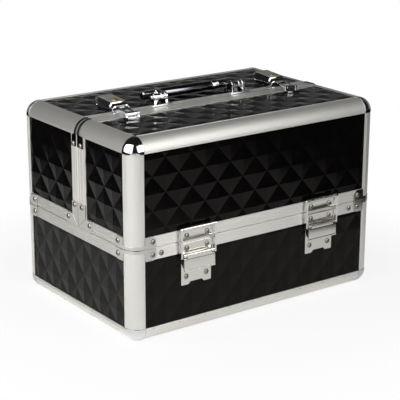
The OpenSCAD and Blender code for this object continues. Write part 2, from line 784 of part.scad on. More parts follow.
// Bail: a barrel on each pin, a flat arm back to the bar, and a ferrule at each end of the grip.
module handle_bail() {
    barrel = ear_gap - 2 * run;
    bar_r = grip_d / 2;
    color(chrome) difference() {
        both_ends() translate([-ear_mid, handle_y, handle_z]) {
            rod_x(4.4, -barrel / 2, barrel / 2);
            rotate([-atan2(grip_sink, handle_reach), 0, 0])
                translate([-barrel / 2, 0, -2]) cube([barrel, handle_reach, 4]);
            translate([0, handle_reach, -grip_sink]) rod_x(bar_r - 0.6, -barrel / 2, ear_mid - grip_l / 2 - fit);
        }
        translate([0, handle_y, handle_z]) rod_x(2, -half_w, half_w);
    }
}

module handle_grip() {
    color([0.04, 0.04, 0.05]) translate([0, handle_y + handle_reach, handle_z - grip_sink])
        rod_x(grip_d / 2, -grip_l / 2, grip_l / 2);
}

// ---------------------------------------------------------------- assembly

in_front() base_face_panel();  // base_front_panel
in_rear() base_face_panel();  // base_rear_panel
base_end_panels();
base_floor_panel();
base_lining();
base_corner_profiles();
base_bottom_profiles();
base_rim_strips();
base_corner_caps();
base_rim_brackets();
base_screws();
base_arm_plates();
side_latch_base_plates();
in_front() lid_top_panel(front_dep, front_seam_w);  // front_lid_top_panel
in_front() lid_face_panel();  // front_lid_face_panel
in_front() lid_end_panels(front_dep, front_seam_w);  // front_lid_end_panels
in_front() lid_edge_profiles(front_dep, front_seam_w);  // front_lid_edge_profiles
in_front() lid_strips(front_dep, front_seam_w);  // front_lid_strips
in_front() lid_caps(front_dep, front_seam_w);  // front_lid_caps
in_front() lid_brackets(front_dep, front_seam_w);  // front_lid_brackets
in_front() lid_screws(front_dep, front_seam_w);  // front_lid_screws
in_front() lid_arm_plates(front_dep, front_seam_w);  // front_lid_arm_plates
front_lid_latch_plates();
in_rear() lid_top_panel(rear_dep, rear_seam_w);  // rear_lid_top_panel
in_rear() lid_face_panel();  // rear_lid_face_panel
in_rear() lid_end_panels(rear_dep, rear_seam_w);  // rear_lid_end_panels
in_rear() lid_edge_profiles(rear_dep, rear_seam_w);  // rear_lid_edge_profiles
in_rear() lid_strips(rear_dep, rear_seam_w);  // rear_lid_strips
in_rear() lid_caps(rear_dep, rear_seam_w);  // rear_lid_caps
in_rear() lid_brackets(rear_dep, rear_seam_w);  // rear_lid_brackets
in_rear() lid_screws(rear_dep, rear_seam_w);  // rear_lid_screws
in_rear() lid_arm_plates(rear_dep, rear_seam_w);  // rear_lid_arm_plates
rear_lid_latch_plates();
handle_brackets();
in_front() outer_arms();  // front_outer_arms
in_front() inner_arms();  // front_inner_arms
in_rear() outer_arms();  // rear_outer_arms
in_rear() inner_arms();  // rear_inner_arms
in_front() tray(front_tray_d, lower_tray_z, lower_pivot_r, 4);  // front_lower_tray
in_front() tray(front_tray_d, upper_tray_z, upper_pivot_r, 0);  // front_upper_tray
in_rear() tray(rear_tray_d, lower_tray_z, lower_pivot_r, 4);  // rear_lower_tray
in_rear() tray(rear_tray_d, upper_tray_z, upper_pivot_r, 0);  // rear_upper_tray
in_front() dividers(front_tray_d);  // front_tray_dividers
in_rear() dividers(rear_tray_d);  // rear_tray_dividers
in_front() translate([-side_latch_x, 0, 0]) side_lever();  // front_left_lever
in_front() translate([side_latch_x, 0, 0]) side_lever();  // front_right_lever
in_rear() translate([-side_latch_x, 0, 0]) side_lever();  // rear_left_lever
in_rear() translate([side_latch_x, 0, 0]) side_lever();  // rear_right_lever
in_front() translate([-side_latch_x, 0, 0]) side_hasp();  // front_left_hasp
in_front() translate([side_latch_x, 0, 0]) side_hasp();  // front_right_hasp
in_rear() translate([-side_latch_x, 0, 0]) side_hasp();  // rear_left_hasp
in_rear() translate([side_latch_x, 0, 0]) side_hasp();  // rear_right_hasp
top_lever(-top_latch_x);  // left_top_lever
top_lever(top_latch_x);  // right_top_lever
top_hasp(-top_latch_x);  // left_top_hasp
top_hasp(top_latch_x);  // right_top_hasp
key_cylinder(-top_latch_x);  // left_key_cylinder
key_cylinder(top_latch_x);  // right_key_cylinder
handle_bail();
handle_grip();
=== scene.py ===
import math

import bmesh
import bpy
from mathutils import Matrix, Vector


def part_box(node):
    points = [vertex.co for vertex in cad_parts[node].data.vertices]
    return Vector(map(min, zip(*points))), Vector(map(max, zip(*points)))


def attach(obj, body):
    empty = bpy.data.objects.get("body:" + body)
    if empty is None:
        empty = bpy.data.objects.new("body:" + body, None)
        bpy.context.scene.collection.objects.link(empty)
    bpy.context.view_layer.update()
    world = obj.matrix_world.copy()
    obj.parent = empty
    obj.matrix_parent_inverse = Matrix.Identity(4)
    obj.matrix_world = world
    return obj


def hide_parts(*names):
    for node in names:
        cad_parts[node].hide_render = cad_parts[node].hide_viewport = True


# Two-way opening makeup train case: a deep base, two lid halves that lift apart on parallel arms, and
# two trays under each half. Pieces are drawn in millimetres and finished in metres.
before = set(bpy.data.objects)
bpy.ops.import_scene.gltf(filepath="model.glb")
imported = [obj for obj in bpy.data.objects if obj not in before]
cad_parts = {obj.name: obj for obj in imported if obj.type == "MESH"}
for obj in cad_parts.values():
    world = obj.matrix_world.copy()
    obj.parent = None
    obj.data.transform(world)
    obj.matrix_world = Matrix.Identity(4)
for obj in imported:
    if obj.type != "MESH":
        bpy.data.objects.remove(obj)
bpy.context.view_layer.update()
MM = 0.001


# ------------------------------------------------------------------------------------------------
# Panels. Each face is plywood under a thin skin of glossy black ABS, pressed over a die into rows of
# low four-sided diamonds. The panels are cut square and pushed into the channels of the extrusions.

diamond_w = 36.1
diamond_h = 40.4
diamond_rise = 1.25
skin_back = 0.6                     # depth of the valleys behind the plain face
panel_thick = 4.0
lip = 1.2                           # the extrusions' outer lip stands this far proud of the panels
corner_cut = 8.0                    # corners clear the round of the ball caps
NOISE, CELLS = "ShaderNodeTexNoise", "ShaderNodeTexVoronoi"


def add_node(tree, kind, inputs=None, **settings):
    """A node with its settings; inputs maps a socket's name or number to a value or another socket."""
    made = tree.nodes.new(kind)
    for key, value in settings.items():
        setattr(made, key, value)
    for key, value in (inputs or {}).items():
        if isinstance(value, bpy.types.NodeSocket):
            tree.links.new(value, made.inputs[key])
        else:
            made.inputs[key].default_value = value
    return made


def linear(hex_colour):
    """An sRGB hex colour as linear RGBA."""
    parts = [int(hex_colour[i:i + 2], 16) / 255 for i in (1, 3, 5)]
    return [c / 12.92 if c <= 0.04045 else ((c + 0.055) / 1.055) ** 2.4 for c in parts] + [1.0]


def surface(name, colour, rough, haze, band=(0.3, 0.7), relief=None, press=None, twist=0.0, along=None,
            **look):
    """A material. The haze blends a pair of colours and, over a band of its values, a pair of roughnesses.
    Haze and relief are noises of (width in mm or one for each axis, detail, kind); press is the relief's
    (strength, depth in mm), or the haze's where there is no relief; along is a UV map that noises and
    reflections follow; look sets the shader's sockets."""
    material = bpy.data.materials.new(name)
    material.use_nodes = True
    tree = material.node_tree
    tree.nodes.clear()
    if along:
        place = add_node(tree, "ShaderNodeUVMap", uv_map=along).outputs[0]
        tangent = add_node(tree, "ShaderNodeTangent", direction_type="UV_MAP", uv_map=along)
        look["Tangent"] = tangent.outputs[0]
    else:
        place = add_node(tree, "ShaderNodeTexCoord").outputs["Object"]
    noises = []
    for width, detail, kind in filter(None, (haze, relief)):
        widths = width if isinstance(width, tuple) else (width, width, width)
        scaled = add_node(tree, "ShaderNodeMapping",
                          {"Vector": place, "Scale": [1 / (w * MM) for w in widths]})
        noises.append(add_node(tree, kind, {"Vector": scaled.outputs[0], "Scale": 1.0, "Detail": detail}))
    noises[0].inputs["Distortion"].default_value = twist
    mist, bumps = noises[0].outputs[0], noises[-1].outputs[0]
    if isinstance(colour, tuple):
        ends = {0: mist, 6: linear(colour[0]), 7: linear(colour[1])}
        look["Base Color"] = add_node(tree, "ShaderNodeMix", ends, data_type="RGBA").outputs[2]
    else:
        look["Base Color"] = linear(colour)
    if isinstance(rough, tuple):
        ends = {"Value": mist, "From Min": band[0], "From Max": band[1], "To Min": rough[0],
                "To Max": rough[1]}
        look["Roughness"] = add_node(tree, "ShaderNodeMapRange", ends).outputs[0]
    else:
        look["Roughness"] = rough
    if press:
        pressed = {"Height": bumps, "Strength": press[0], "Distance": press[1] * MM}
        look["Normal"] = add_node(tree, "ShaderNodeBump", pressed).outputs[0]
    shader = add_node(tree, "ShaderNodeBsdfPrincipled", look)
    add_node(tree, "ShaderNodeOutputMaterial", {"Surface": shader.outputs[0]})
    return material


def all_parts(parts):
    """Every part in a list of parts and lists of parts."""
    return [part for group in parts for part in (all_parts(group) if isinstance(group, list) else [group])]


def mesh_of(name, parts, material):
    """One mesh in metres of parts drawn in millimetres, with every face pointing outwards."""
    whole = bmesh.new()
    for part in all_parts(parts):
        copy = bpy.data.meshes.new("part")
        part.to_mesh(copy)
        part.free()
        whole.from_mesh(copy)
        bpy.data.meshes.remove(copy)
    bmesh.ops.recalc_face_normals(whole, faces=whole.faces)
    data = bpy.data.meshes.new(name)
    whole.to_mesh(data)
    whole.free()
    data.transform(Matrix.Scale(MM, 4))
    data.materials.append(material)
    return data


def new_object(name, data):
    made = bpy.data.objects.new(name, data)
    bpy.context.scene.collection.objects.link(made)
    return made


def hand_over(piece, body, nodes):
    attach(piece, body)
    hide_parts(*nodes)


def finish_piece(name, parts, material, body, nodes, bevel=0.0, sharp=35):
    """Joins parts into a finished piece that rides on a body, with edges over a sharp angle rounded."""
    piece = new_object(name, mesh_of(name, parts, material))
    piece.data.shade_smooth()
    if bevel:
        edges = piece.modifiers.new("edges", "BEVEL")
        edges.width, edges.segments = bevel * MM, 2
        edges.limit_method, edges.angle_limit = "ANGLE", math.radians(sharp)
        edges.use_clamp_overlap = edges.harden_normals = True
    else:
        piece.data.set_sharp_from_angle(angle=math.radians(sharp))
    hand_over(piece, body, nodes)


def cut_away(part, point, normal):
    """Removes what lies on the normal's side of a plane."""
    everything = part.verts[:] + part.edges[:] + part.faces[:]
    bmesh.ops.bisect_plane(part, geom=everything, plane_co=point, plane_no=normal, clear_outer=True)


def diamond_panel(matrix, low, high, node_at, corners):
    """A closed panel in the local XY plane, facing +Z, with a row of diamond points through node_at and
    the given corners cut off."""
    part = bmesh.new()
    half_h = diamond_h / 2
    first_row, last_row = (math.floor((low[1] - node_at[1]) / half_h) - 1,
                           math.ceil((high[1] - node_at[1]) / half_h) + 1)
    for row in range(first_row, last_row + 1):
        shift = node_at[0] + (row % 2 + 1) * diamond_w / 2
        first = math.floor((low[0] - shift) / diamond_w) - 1
        last = math.ceil((high[0] - shift) / diamond_w) + 1
        for column in range(first, last + 1):
            x, y = shift + column * diamond_w, node_at[1] + row * half_h
            top = part.verts.new((x, y, diamond_rise - skin_back))
            ring = [part.verts.new((x + dx, y + dy, -skin_back)) for dx, dy in
                    ((diamond_w / 2, 0), (0, half_h), (-diamond_w / 2, 0), (0, -half_h))]
            for k in range(4):
                part.faces.new((ring[k], ring[(k + 1) % 4], top))
    bmesh.ops.remove_doubles(part, verts=part.verts, dist=0.01)
    for point, normal in ((low, (-1, 0, 0)), (high, (1, 0, 0)), (low, (0, -1, 0)), (high, (0, 1, 0))):
        cut_away(part, (*point, 0), normal)
    for sx, sy in corners:
        edge_x, edge_y = (high if sx > 0 else low)[0], (high if sy > 0 else low)[1]
        cut_away(part, (edge_x - sx * corner_cut, edge_y, 0), (sx, sy, 0))
    back = bmesh.ops.extrude_face_region(part, geom=part.faces[:])["geom"]
    for vert in (v for v in back if isinstance(v, bmesh.types.BMVert)):
        vert.co.z = -panel_thick
    part.transform(matrix)
    return part


def box_mm(node):
    """Lowest and highest corner of a CAD node, in millimetres."""
    low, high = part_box(node)
    return low / MM, high / MM


def lay(x, y, z, place=(0, 0, 0)):
    """Matrix that lays a shape's own X, Y and Z along these directions of the case, at that place."""
    return Matrix.Translation(place) @ Matrix((x, y, z)).transposed().to_4x4()


X, Y, Z = Vector((1, 0, 0)), Vector((0, 1, 0)), Vector((0, 0, 1))
half_w, half_d = box_mm("base_corner_caps")[1].xy
case_top = box_mm("front_lid_caps")[1].z


def reach_in(side, node):
    """How far a node of a lid half reaches inwards from the half's outer face."""
    low, high = box_mm(f"{side}_lid_{node}")
    return half_d + high.y if side == "front" else half_d - low.y


# A half is drawn with y running inwards from its outer face, an end with x running inwards too.
IN_FRONT, IN_REAR = lay(X, Y, Z, -half_d * Y), lay(X, -Y, Z, half_d * Y)
HALVES = (("front", IN_FRONT, reach_in("front", "strips")), ("rear", IN_REAR, reach_in("rear", "strips")))
ENDS = (lay(X, Y, Z, -half_w * X), lay(-X, Y, Z, half_w * X))
FROM_TOP = lay(X, Y, -Z, case_top * Z)

# A panel has X along its face, Y up or inwards, and Z out of the case.
FACE_OUT = lay(X, Z, -Y, lip * Y)
END_OUT = lay(Y, Z, -X, lip * X)
TOP_OUT = lay(X, Y, Z, (case_top - lip) * Z)
LOW_CORNERS, HIGH_CORNERS = ((-1, -1), (1, -1)), ((-1, 1), (1, 1))

# Pressed glossy black ABS skin: deep black with a clear, slightly wavy shine and a faint dust haze.
abs_laminate = surface(
    "pressed_abs_laminate", "#060505", (0.13, 0.21), haze=(40, 4, NOISE), relief=(11.11, 2, NOISE),
    press=(0.12, 0.4), IOR=1.5, **{"Specular Tint": linear("#fffaf0"), "Specular IOR Level": 0.16})

panel_inset = box_mm("base_front_panel")[0].x + half_w
panel_x = half_w - panel_inset
base_foot, base_high = (corner.z for corner in box_mm("base_front_panel"))
lid_low, lid_high = (corner.z for corner in box_mm("front_lid_face_panel"))
# One diamond point of each face, from which its pattern runs on.
base_node, base_end_node = (-7.0, 74.0), (40.0, 74.0)
face_node, end_node, top_node = (-7.0, 154.5), (40.0, 154.5), (-7.0, 30.0)

for side, half, depth in HALVES:
    front = diamond_panel(half @ FACE_OUT, (-panel_x, base_foot), (panel_x, base_high), base_node,
                          LOW_CORNERS)
    finish_piece(f"base_{side}_panel_skin", [front], abs_laminate, "base", [f"base_{side}_panel"],
                 bevel=0.7, sharp=3)
    seam_in = reach_in(side, "top_panel")
    finish_piece(f"{side}_lid_panel_skins", [
        diamond_panel(half @ FACE_OUT, (-panel_x, lid_low), (panel_x, lid_high), face_node, HIGH_CORNERS),
        diamond_panel(half @ TOP_OUT, (-panel_x, panel_inset), (panel_x, seam_in), top_node, LOW_CORNERS),
        [diamond_panel(half @ end @ END_OUT, (panel_inset, lid_low), (seam_in, lid_high), end_node,
                       HIGH_CORNERS[:1]) for end in ENDS]],
        abs_laminate, f"{side}_lid", [f"{side}_lid_{n}" for n in ("face_panel", "top_panel", "end_panels")],
        bevel=0.7, sharp=3)

ends = [diamond_panel(end @ END_OUT, (panel_inset - half_d, base_foot), (half_d - panel_inset, base_high),
                      base_end_node, LOW_CORNERS) for end in ENDS]
finish_piece("base_end_panel_skins", ends, abs_laminate, "base", ["base_end_panels"],
             bevel=0.7, sharp=3)


# ------------------------------------------------------------------------------------------------
# Edge extrusions. Natural anodised aluminium, drawn through a die as a rounded angle with a channel
# in each arm for the panel, sawn to length and slid over the panel edges.

edge_w = box_mm("base_bottom_profiles")[1].z
edge_r = 16.5
wall_t = 6.5
channel_deep = 5.0
channel_w = 4.1
lip_bead = 0.35
cap_reach = box_mm("base_corner_caps")[1].z
rim_top = box_mm("base_rim_strips")[1].z
lid_foot = box_mm("front_lid_strips")[0].z
band_h = rim_top - box_mm("base_corner_profiles")[1].z


def extruded_aluminium(name, rough, spread):
    """Extruded and anodised aluminium: pale satin metal with faint straight die lines along its length,
    which spread a reflection across the bar and leave it sharper along it."""
    # The lines are about 0.05 mm apart on the real metal, drawn ten times as coarse so that they show.
    return surface(name, ("#e4e2dd", "#f0eee9"), rough, haze=((0.5, 125, 1000), 3, NOISE),
                   press=(0.10, 0.2), along="length", Metallic=0.9, Anisotropic=spread)


def arc(x, y, radius, start, end, steps):
    """Points on an arc, in degrees, both ends included."""
    angles = [math.radians(start + (end - start) * k / steps) for k in range(steps + 1)]
    return [(x + radius * math.cos(a), y + radius * math.sin(a)) for a in angles]


def skin(rows, matrix):
    """A closed skin through rows of points; a row has as many points as the next, or one."""
    part = bmesh.new()
    rings = [[part.verts.new(point) for point in row] for row in rows]
    for before, after in zip(rings, rings[1:]):
        count = max(len(before), len(after))
        for k in range(count):
            j = (k + 1) % count
            corners = (before[k % len(before)], before[j % len(before)], after[j % len(after)],
                       after[k % len(after)])
            part.faces.new(list(dict.fromkeys(corners)))
    for ring, turn in ((rings[0], -1), (rings[-1], 1)):
        if len(ring) > 1:
            part.faces.new(ring[::turn])
    part.transform(matrix)
    return part


def bar(outline, matrix, start, end):
    """A bar of that outline from z = start to z = end, with its girth and length kept as a UV map."""
    part = skin([[(x, y, z) for x, y in outline] for z in (start, end)], matrix)
    length = part.loops.layers.uv.new("length")
    girth = [0.0]
    for (x, y), (next_x, next_y) in zip(outline, outline[1:] + outline[:1]):
        girth.append(girth[-1] + math.hypot(next_x - x, next_y - y))
    for k, face in enumerate(list(part.faces)[:len(outline)]):
        for loop, (u, v) in zip(face.loops, ((k, start), (k + 1, start), (k + 1, end), (k, end))):
            loop[length].uv = (girth[u] * MM, v * MM)
    return part


def edge_outline():
    """Rounded angle with a panel channel in the end of each arm; a groove sets off a bead at each lip."""
    inner = lip + channel_w
    arm = [(edge_w, lip), (edge_w - channel_deep, lip), (edge_w - channel_deep, inner), (edge_w, inner),
           (edge_w, wall_t)]
    roll = [p for p in arc(edge_r, edge_r, edge_r, 180, 270, 18) if max(p) < edge_w - 3.2]
    bead = [(edge_w - 2.9, 0.1), (edge_w - 2.5, 0.7), (edge_w - 1.9, 0.7), (edge_w - 1.5, 0.0),
            (edge_w - lip_bead, 0), (edge_w, lip_bead)]
    mirrored = [(y, x) for x, y in bead + arm]
    return roll + bead + arm + [(wall_t, wall_t)] + mirrored[::-1]


# A bar's length is turned along X or Y of the case, and its outline stays x or y inwards, y up.
ALONG_X = lay(Y, Z, X)
ALONG_Y = lay(X, Z, Y)
edge = edge_outline()
aluminium = extruded_aluminium("anodised_aluminium", (0.44, 0.52), 0.68)
corners = [bar(edge, half @ end, cap_reach, rim_top - band_h) for side, half, depth in HALVES
           for end in ENDS]
finish_piece("base_corner_extrusions", corners, aluminium, "base", ["base_corner_profiles"])
finish_piece("base_bottom_extrusions", [
    [bar(edge, half @ ALONG_X, cap_reach - half_w, half_w - cap_reach) for side, half, depth in HALVES],
    [bar(edge, IN_FRONT @ end @ ALONG_Y, cap_reach, 2 * half_d - cap_reach) for end in ENDS]],
    aluminium, "base", ["base_bottom_profiles"])

seam_w = {side: reach_in(side, "caps") - reach_in(side, "edge_profiles") for side in ("front", "rear")}
for side, half, depth in HALVES:
    edges = [bar(edge, half @ FROM_TOP @ ALONG_X, cap_reach - half_w, half_w - cap_reach)]
    for end in ENDS:
        edges += [bar(edge, half @ end, lid_foot + band_h, case_top - cap_reach),
                  bar(edge, half @ end @ FROM_TOP @ ALONG_Y, cap_reach, depth - seam_w[side])]
    finish_piece(f"{side}_lid_edge_extrusions", edges, aluminium, f"{side}_lid",
                 [f"{side}_lid_edge_profiles"])


# ------------------------------------------------------------------------------------------------
# Rim and seam strips. Flat anodised extrusions with fine rolled ridges along the face. They close
# the open edges of the panels: around the base rim, around the foot of each lid and up the seam.

rim_w = rim_top - box_mm("base_rim_strips")[0].z
ridge_deep = 0.5
ridge_w = 1.3
rim_bevel = 0.9
web_t = 3.0


def strip_outline(width, ridges):
    """Flat strip, outer face on y = 0 with grooves at the given shares of its width, channel open to +x."""
    face = []
    for middle in (share * width for share in ridges):
        face += [(middle - ridge_w / 2, 0), (middle - ridge_w / 4, ridge_deep),
                 (middle + ridge_w / 4, ridge_deep), (middle + ridge_w / 2, 0)]
    inner = lip + channel_w
    return ([(0, rim_bevel), (rim_bevel, 0)] + face + [(width - lip_bead, 0), (width, lip_bead),
                                                       (width, lip), (web_t, lip), (web_t, inner),
                                                       (width, inner), (width, wall_t), (0, wall_t)])


# A strip's outline has x away from the open edge and y inwards; each matrix lays it on its edge.
UP_FACE, UP_END = lay(Z, Y, X), lay(Z, X, Y)
BACK_END, BACK_TOP = lay(-Y, X, Z), lay(-Y, -Z, X)
rim, foot = lay(X, Y, -Z, rim_top * Z), lay(X, Y, Z, lid_foot * Z)
rim_strip = strip_outline(rim_w, (0.22, 0.5, 0.78))
rim_long = (edge_w - half_w, half_w - edge_w)

finish_piece("base_rim_strip_extrusions", [
    [bar(rim_strip, half @ rim @ UP_FACE, *rim_long) for side, half, depth in HALVES],
    [bar(rim_strip, IN_FRONT @ end @ rim @ UP_END, edge_w, 2 * half_d - edge_w) for end in ENDS]],
    aluminium, "base", ["base_rim_strips"])

# The two strips along the top lie under the hands and the latches, and are worn smoother than the rest.
polished = extruded_aluminium("hand_polished_aluminium", (0.34, 0.42), 0.3)
for side, half, depth in HALVES:
    seam_strip = strip_outline(seam_w[side], (0.3, 0.7))
    strips = [bar(rim_strip, half @ foot @ UP_FACE, *rim_long)]
    for end in ENDS:
        at_seam = half @ end @ Matrix.Translation((0, depth, 0))
        strips += [bar(rim_strip, half @ end @ foot @ UP_END, edge_w, depth - seam_w[side]),
                   bar(seam_strip, at_seam @ BACK_END, lid_foot, case_top - edge_w)]
    finish_piece(f"{side}_lid_strip_extrusions", strips, aluminium, f"{side}_lid", [f"{side}_lid_strips"])
    top_strip = bar(seam_strip, half @ Matrix.Translation((0, depth, case_top)) @ BACK_TOP, *rim_long)
    finish_piece(f"{side}_lid_top_strip_extrusion", [top_strip], polished, f"{side}_lid",
                 [f"{side}_lid_strips"])


# ------------------------------------------------------------------------------------------------
# Corner caps. Ball corners pressed from steel sheet and chrome plated, snapped over the sawn ends of
# three extrusions; and narrow black nickel straps that carry each seam over the rounded top edge.

cap_sheet = 1.2
cap_proud = 0.3
cap_cells = 14                      # squares along each side of a cap
bend_half = edge_r * math.pi / 4    # half the length of the bend in a strap round an edge
strap_ear = 14.5                    # length of the strap's ear below the bend
strap_lift = 1.1


def plated_steel(name, tone):
    """Pressed steel with bright nickel and chrome plate: a clear mirror, softened a little by pressing."""
    return surface(name, tone, (0.06, 0.14), haze=(16.67, 4, NOISE), band=(0.35, 0.75),
                   relief=(6.25, 2, NOISE), press=(0.08, 0.3), Metallic=1.0)


def ball_cap(matrix):
    """A shell over a corner of the case: a cube corner with its three edges rolled into a ball."""
    part = bmesh.new()
    radius = edge_r + cap_proud
    outer, inner, borders = {}, {}, {}

    def point(key):
        if key not in outer:
            flat = Vector([cap_reach * k / cap_cells - cap_proud for k in key])
            core = Vector([max(c, edge_r) for c in flat])
            out = (flat - core).normalized()
            outer[key] = part.verts.new(core + out * radius)
            inner[key] = part.verts.new(core + out * (radius - cap_sheet))
        return key

    for axis in range(3):
        for i in range(cap_cells):
            for j in range(cap_cells):
                keys = [point((a, b)[:axis] + (0,) + (a, b)[axis:])
                        for a, b in ((i, j), (i + 1, j), (i + 1, j + 1), (i, j + 1))]
                part.faces.new([outer[k] for k in keys])
                part.faces.new([inner[k] for k in keys[::-1]])
                for pair in zip(keys, keys[1:] + keys[:1]):
                    borders[frozenset(pair)] = borders.get(frozenset(pair), 0) + 1
    for (a, b), uses in borders.items():
        if uses == 1:
            part.faces.new((outer[a], outer[b], inner[b], inner[a]))
    part.transform(matrix)
    return part


def strap(stations, place, matrix, thick):
    """Sheet metal along a path: each station is (distance, low edge, high edge, height of the face) and
    place(distance, across, height) gives a point in space."""
    return skin([[place(along, low, lift), place(along, high, lift), place(along, high, lift - thick),
                  place(along, low, lift - thick)] for along, low, high, lift in stations], matrix)


def round_edge(along, height):
    """A point on the rolled edge of the case: distance from the middle of the bend, height off it."""
    if along < -bend_half:
        return Vector((-height, edge_r - along - bend_half))
    if along > bend_half:
        return Vector((edge_r + along - bend_half, -height))
    angle = math.radians(225) + along / edge_r
    return Vector((edge_r, edge_r)) + (edge_r + height) * Vector((math.cos(angle), math.sin(angle)))


def over_edge(along, across, height):
    x, down = round_edge(along, height)
    return Vector((x, across, down))


def seam_strap(matrix, depth, width):
    """Narrow strap over the top edge beside the seam, with a wider screwed ear on the end face."""
    ear_low, ear_high = depth - width + 3, depth - 1.2
    low, high = depth - 4.8, depth - 1.5
    start = -bend_half - strap_ear
    stations = [(start, ear_low + 1, ear_high - 1), (start + 1, ear_low, ear_high),
                (-bend_half - 1.6, ear_low, ear_high), (-bend_half - 0.4, ear_low + 1.2, high),
                (-bend_half + 0.4, low, high)]
    stations += [(bend_half * (k / 8 - 1), low, high) for k in range(1, 17)]
    stations += [(bend_half + edge_w - edge_r - 0.2, low, high)]
    return strap([(*station, strap_lift) for station in stations], over_edge, matrix @ FROM_TOP, 1.0)


chrome = plated_steel("bright_chrome_plate", "#e6e6e7")
rubbed_plate = plated_steel("rubbed_nickel_plate", "#d0cec9")
# Steel strip plated in black nickel: a dark mirror that keeps only the brightest reflections.
dark_plate = surface("black_nickel_plate", "#4c4b4a", (0.14, 0.24), haze=(11.11, 3, NOISE),
                     band=(0.35, 0.7), Metallic=1.0)

caps = [ball_cap(half @ end) for side, half, depth in HALVES for end in ENDS]
for cap in caps:
    for vert in cap.verts:
        vert.co.z = max(vert.co.z, 0)       # the balls are pressed flat where the case stands on them
finish_piece("base_ball_corners", caps, chrome, "base", ["base_corner_caps"], bevel=0.25,
             sharp=50)
for side, half, depth in HALVES:
    lid, nodes = f"{side}_lid", [f"{side}_lid_caps"]
    finish_piece(f"{side}_lid_ball_corners", [ball_cap(half @ end @ FROM_TOP) for end in ENDS], chrome, lid,
                 nodes, bevel=0.25, sharp=50)
    finish_piece(f"{side}_lid_seam_straps", [seam_strap(half @ end, depth, seam_w[side]) for end in ENDS],
                 dark_plate, lid, nodes, bevel=0.3, sharp=50)
    finish_piece(f"{side}_lid_seam_edges", [bar(edge, half @ end @ FROM_TOP @ ALONG_Y, depth - seam_w[side],
                                                depth) for end in ENDS], aluminium, lid, nodes)


# ------------------------------------------------------------------------------------------------
# Rim corner straps. Nickel plated sheet bent round each corner beside the split, with a flat ear on
# either side that is screwed to the rim strip.

ear_long = 14.5
ear_cut = 3.6
ear_lift = box_mm("base_rim_brackets")[1].x - half_w
band_lift = 0.45


def round_corner(along, across, height):
    return Vector((*round_edge(along, height), across))


def rim_strap(matrix):
    """Corner strap drawn with z rising from the split line, and the stub of extrusion that it wraps."""
    turn = bend_half + edge_w - edge_r
    end = turn + ear_long
    ear = [(-end, 0.5, rim_w - ear_cut - 0.5, ear_lift), (-end + 0.5, 0, rim_w - ear_cut, ear_lift),
           (-end + ear_cut, 0, rim_w, ear_lift), (-turn, 0, rim_w, ear_lift),
           (-turn + 0.5, 0, band_h, ear_lift), (-turn + 2.2, 0, band_h, band_lift)]
    bend = [(-bend_half + 2 * bend_half * k / 16, 0, band_h, band_lift) for k in range(1, 16)]
    other = [(-along, low, high, lift) for along, low, high, lift in ear[::-1]]
    return [strap(ear + bend + other, round_corner, matrix, 0.9), bar(edge, matrix, 0.05, band_h - 0.1)]


straps = [rim_strap(half @ end @ rim) for side, half, depth in HALVES for end in ENDS]
finish_piece("base_rim_straps", straps, rubbed_plate, "base", ["base_rim_brackets"], bevel=0.2,
             sharp=40)

# Seam foot brackets: an L of the same sheet on each end, mitred where its two legs were folded up.
leg_long = 12.5
leg_tall = 30.0
mitre = 0.22
skim = 0.02                         # a plate's back stays this far off the face it lies on


def rounded(outline, radius):
    """The outline with each corner replaced by a small arc."""
    result, steps = [], 4
    for back, here, ahead in zip(outline[-1:] + outline[:-1], outline, outline[1:] + outline[:1]):
        here = Vector(here)
        back, ahead = Vector(back) - here, Vector(ahead) - here
        cut = min(radius, back.length / 2.2, ahead.length / 2.2)
        first, last = here + back.normalized() * cut, here + ahead.normalized() * cut
        for t in (step / steps for step in range(steps + 1)):
            result.append(tuple(first * (1 - t) ** 2 + here * 2 * t * (1 - t) + last * t ** 2))
    return result


def seam_foot(matrix, depth, width):
    corner, far = depth - width + 0.5, depth - width - leg_long
    upright = [(depth, mitre * 2), (depth, leg_tall), (corner, leg_tall), (corner, rim_w + mitre)]
    flat = [(depth - mitre * 2, 0), (corner - mitre, rim_w), (far, rim_w), (far, 0)]
    return [bar(rounded(outline, 0.9), matrix @ ON_END, skim, ear_lift) for outline in (upright, flat)]


# A plate's own Z points out of the case; its outline is drawn as seen on the face or on the end.
ON_FACE, ON_END = lay(X, Z, -Y), lay(Y, Z, -X)
for side, half, depth in HALVES:
    straps = [[rim_strap(half @ end @ foot), seam_foot(half @ end @ foot, depth, seam_w[side])]
              for end in ENDS]
    finish_piece(f"{side}_lid_straps", straps, rubbed_plate, f"{side}_lid", [f"{side}_lid_brackets"],
                 bevel=0.2, sharp=40)


# ------------------------------------------------------------------------------------------------
# Screws. Zinc plated oval-head screws with a cross recess. They hold straps and latch plates to
# the strips, one at each screw of the frame, each driven home at its own angle.

screw_head = 3.3
screw_rise = 1.5
shank_r = 1.5
crown_r = 0.55                      # radius of the flat at the top of the dome
recess_w = 1.0
recess_long = 4.0
recess_deep = 1.2


def turned(profile, matrix, ring=24):
    """A turned shape around local Z from (distance along Z, radius) pairs; radius 0 is a point."""
    angles = [2 * math.pi * k / ring for k in range(ring)]
    return skin([[(radius * math.cos(a), radius * math.sin(a), along) for a in angles] if radius
                 else [(0, 0, along)] for along, radius in profile], matrix)


def plain_mesh(source, name):
    """The evaluated mesh of an object as a mesh of its own."""
    seen = source.evaluated_get(bpy.context.evaluated_depsgraph_get())
    mesh = bpy.data.meshes.new_from_object(seen)
    mesh.name = name
    return mesh


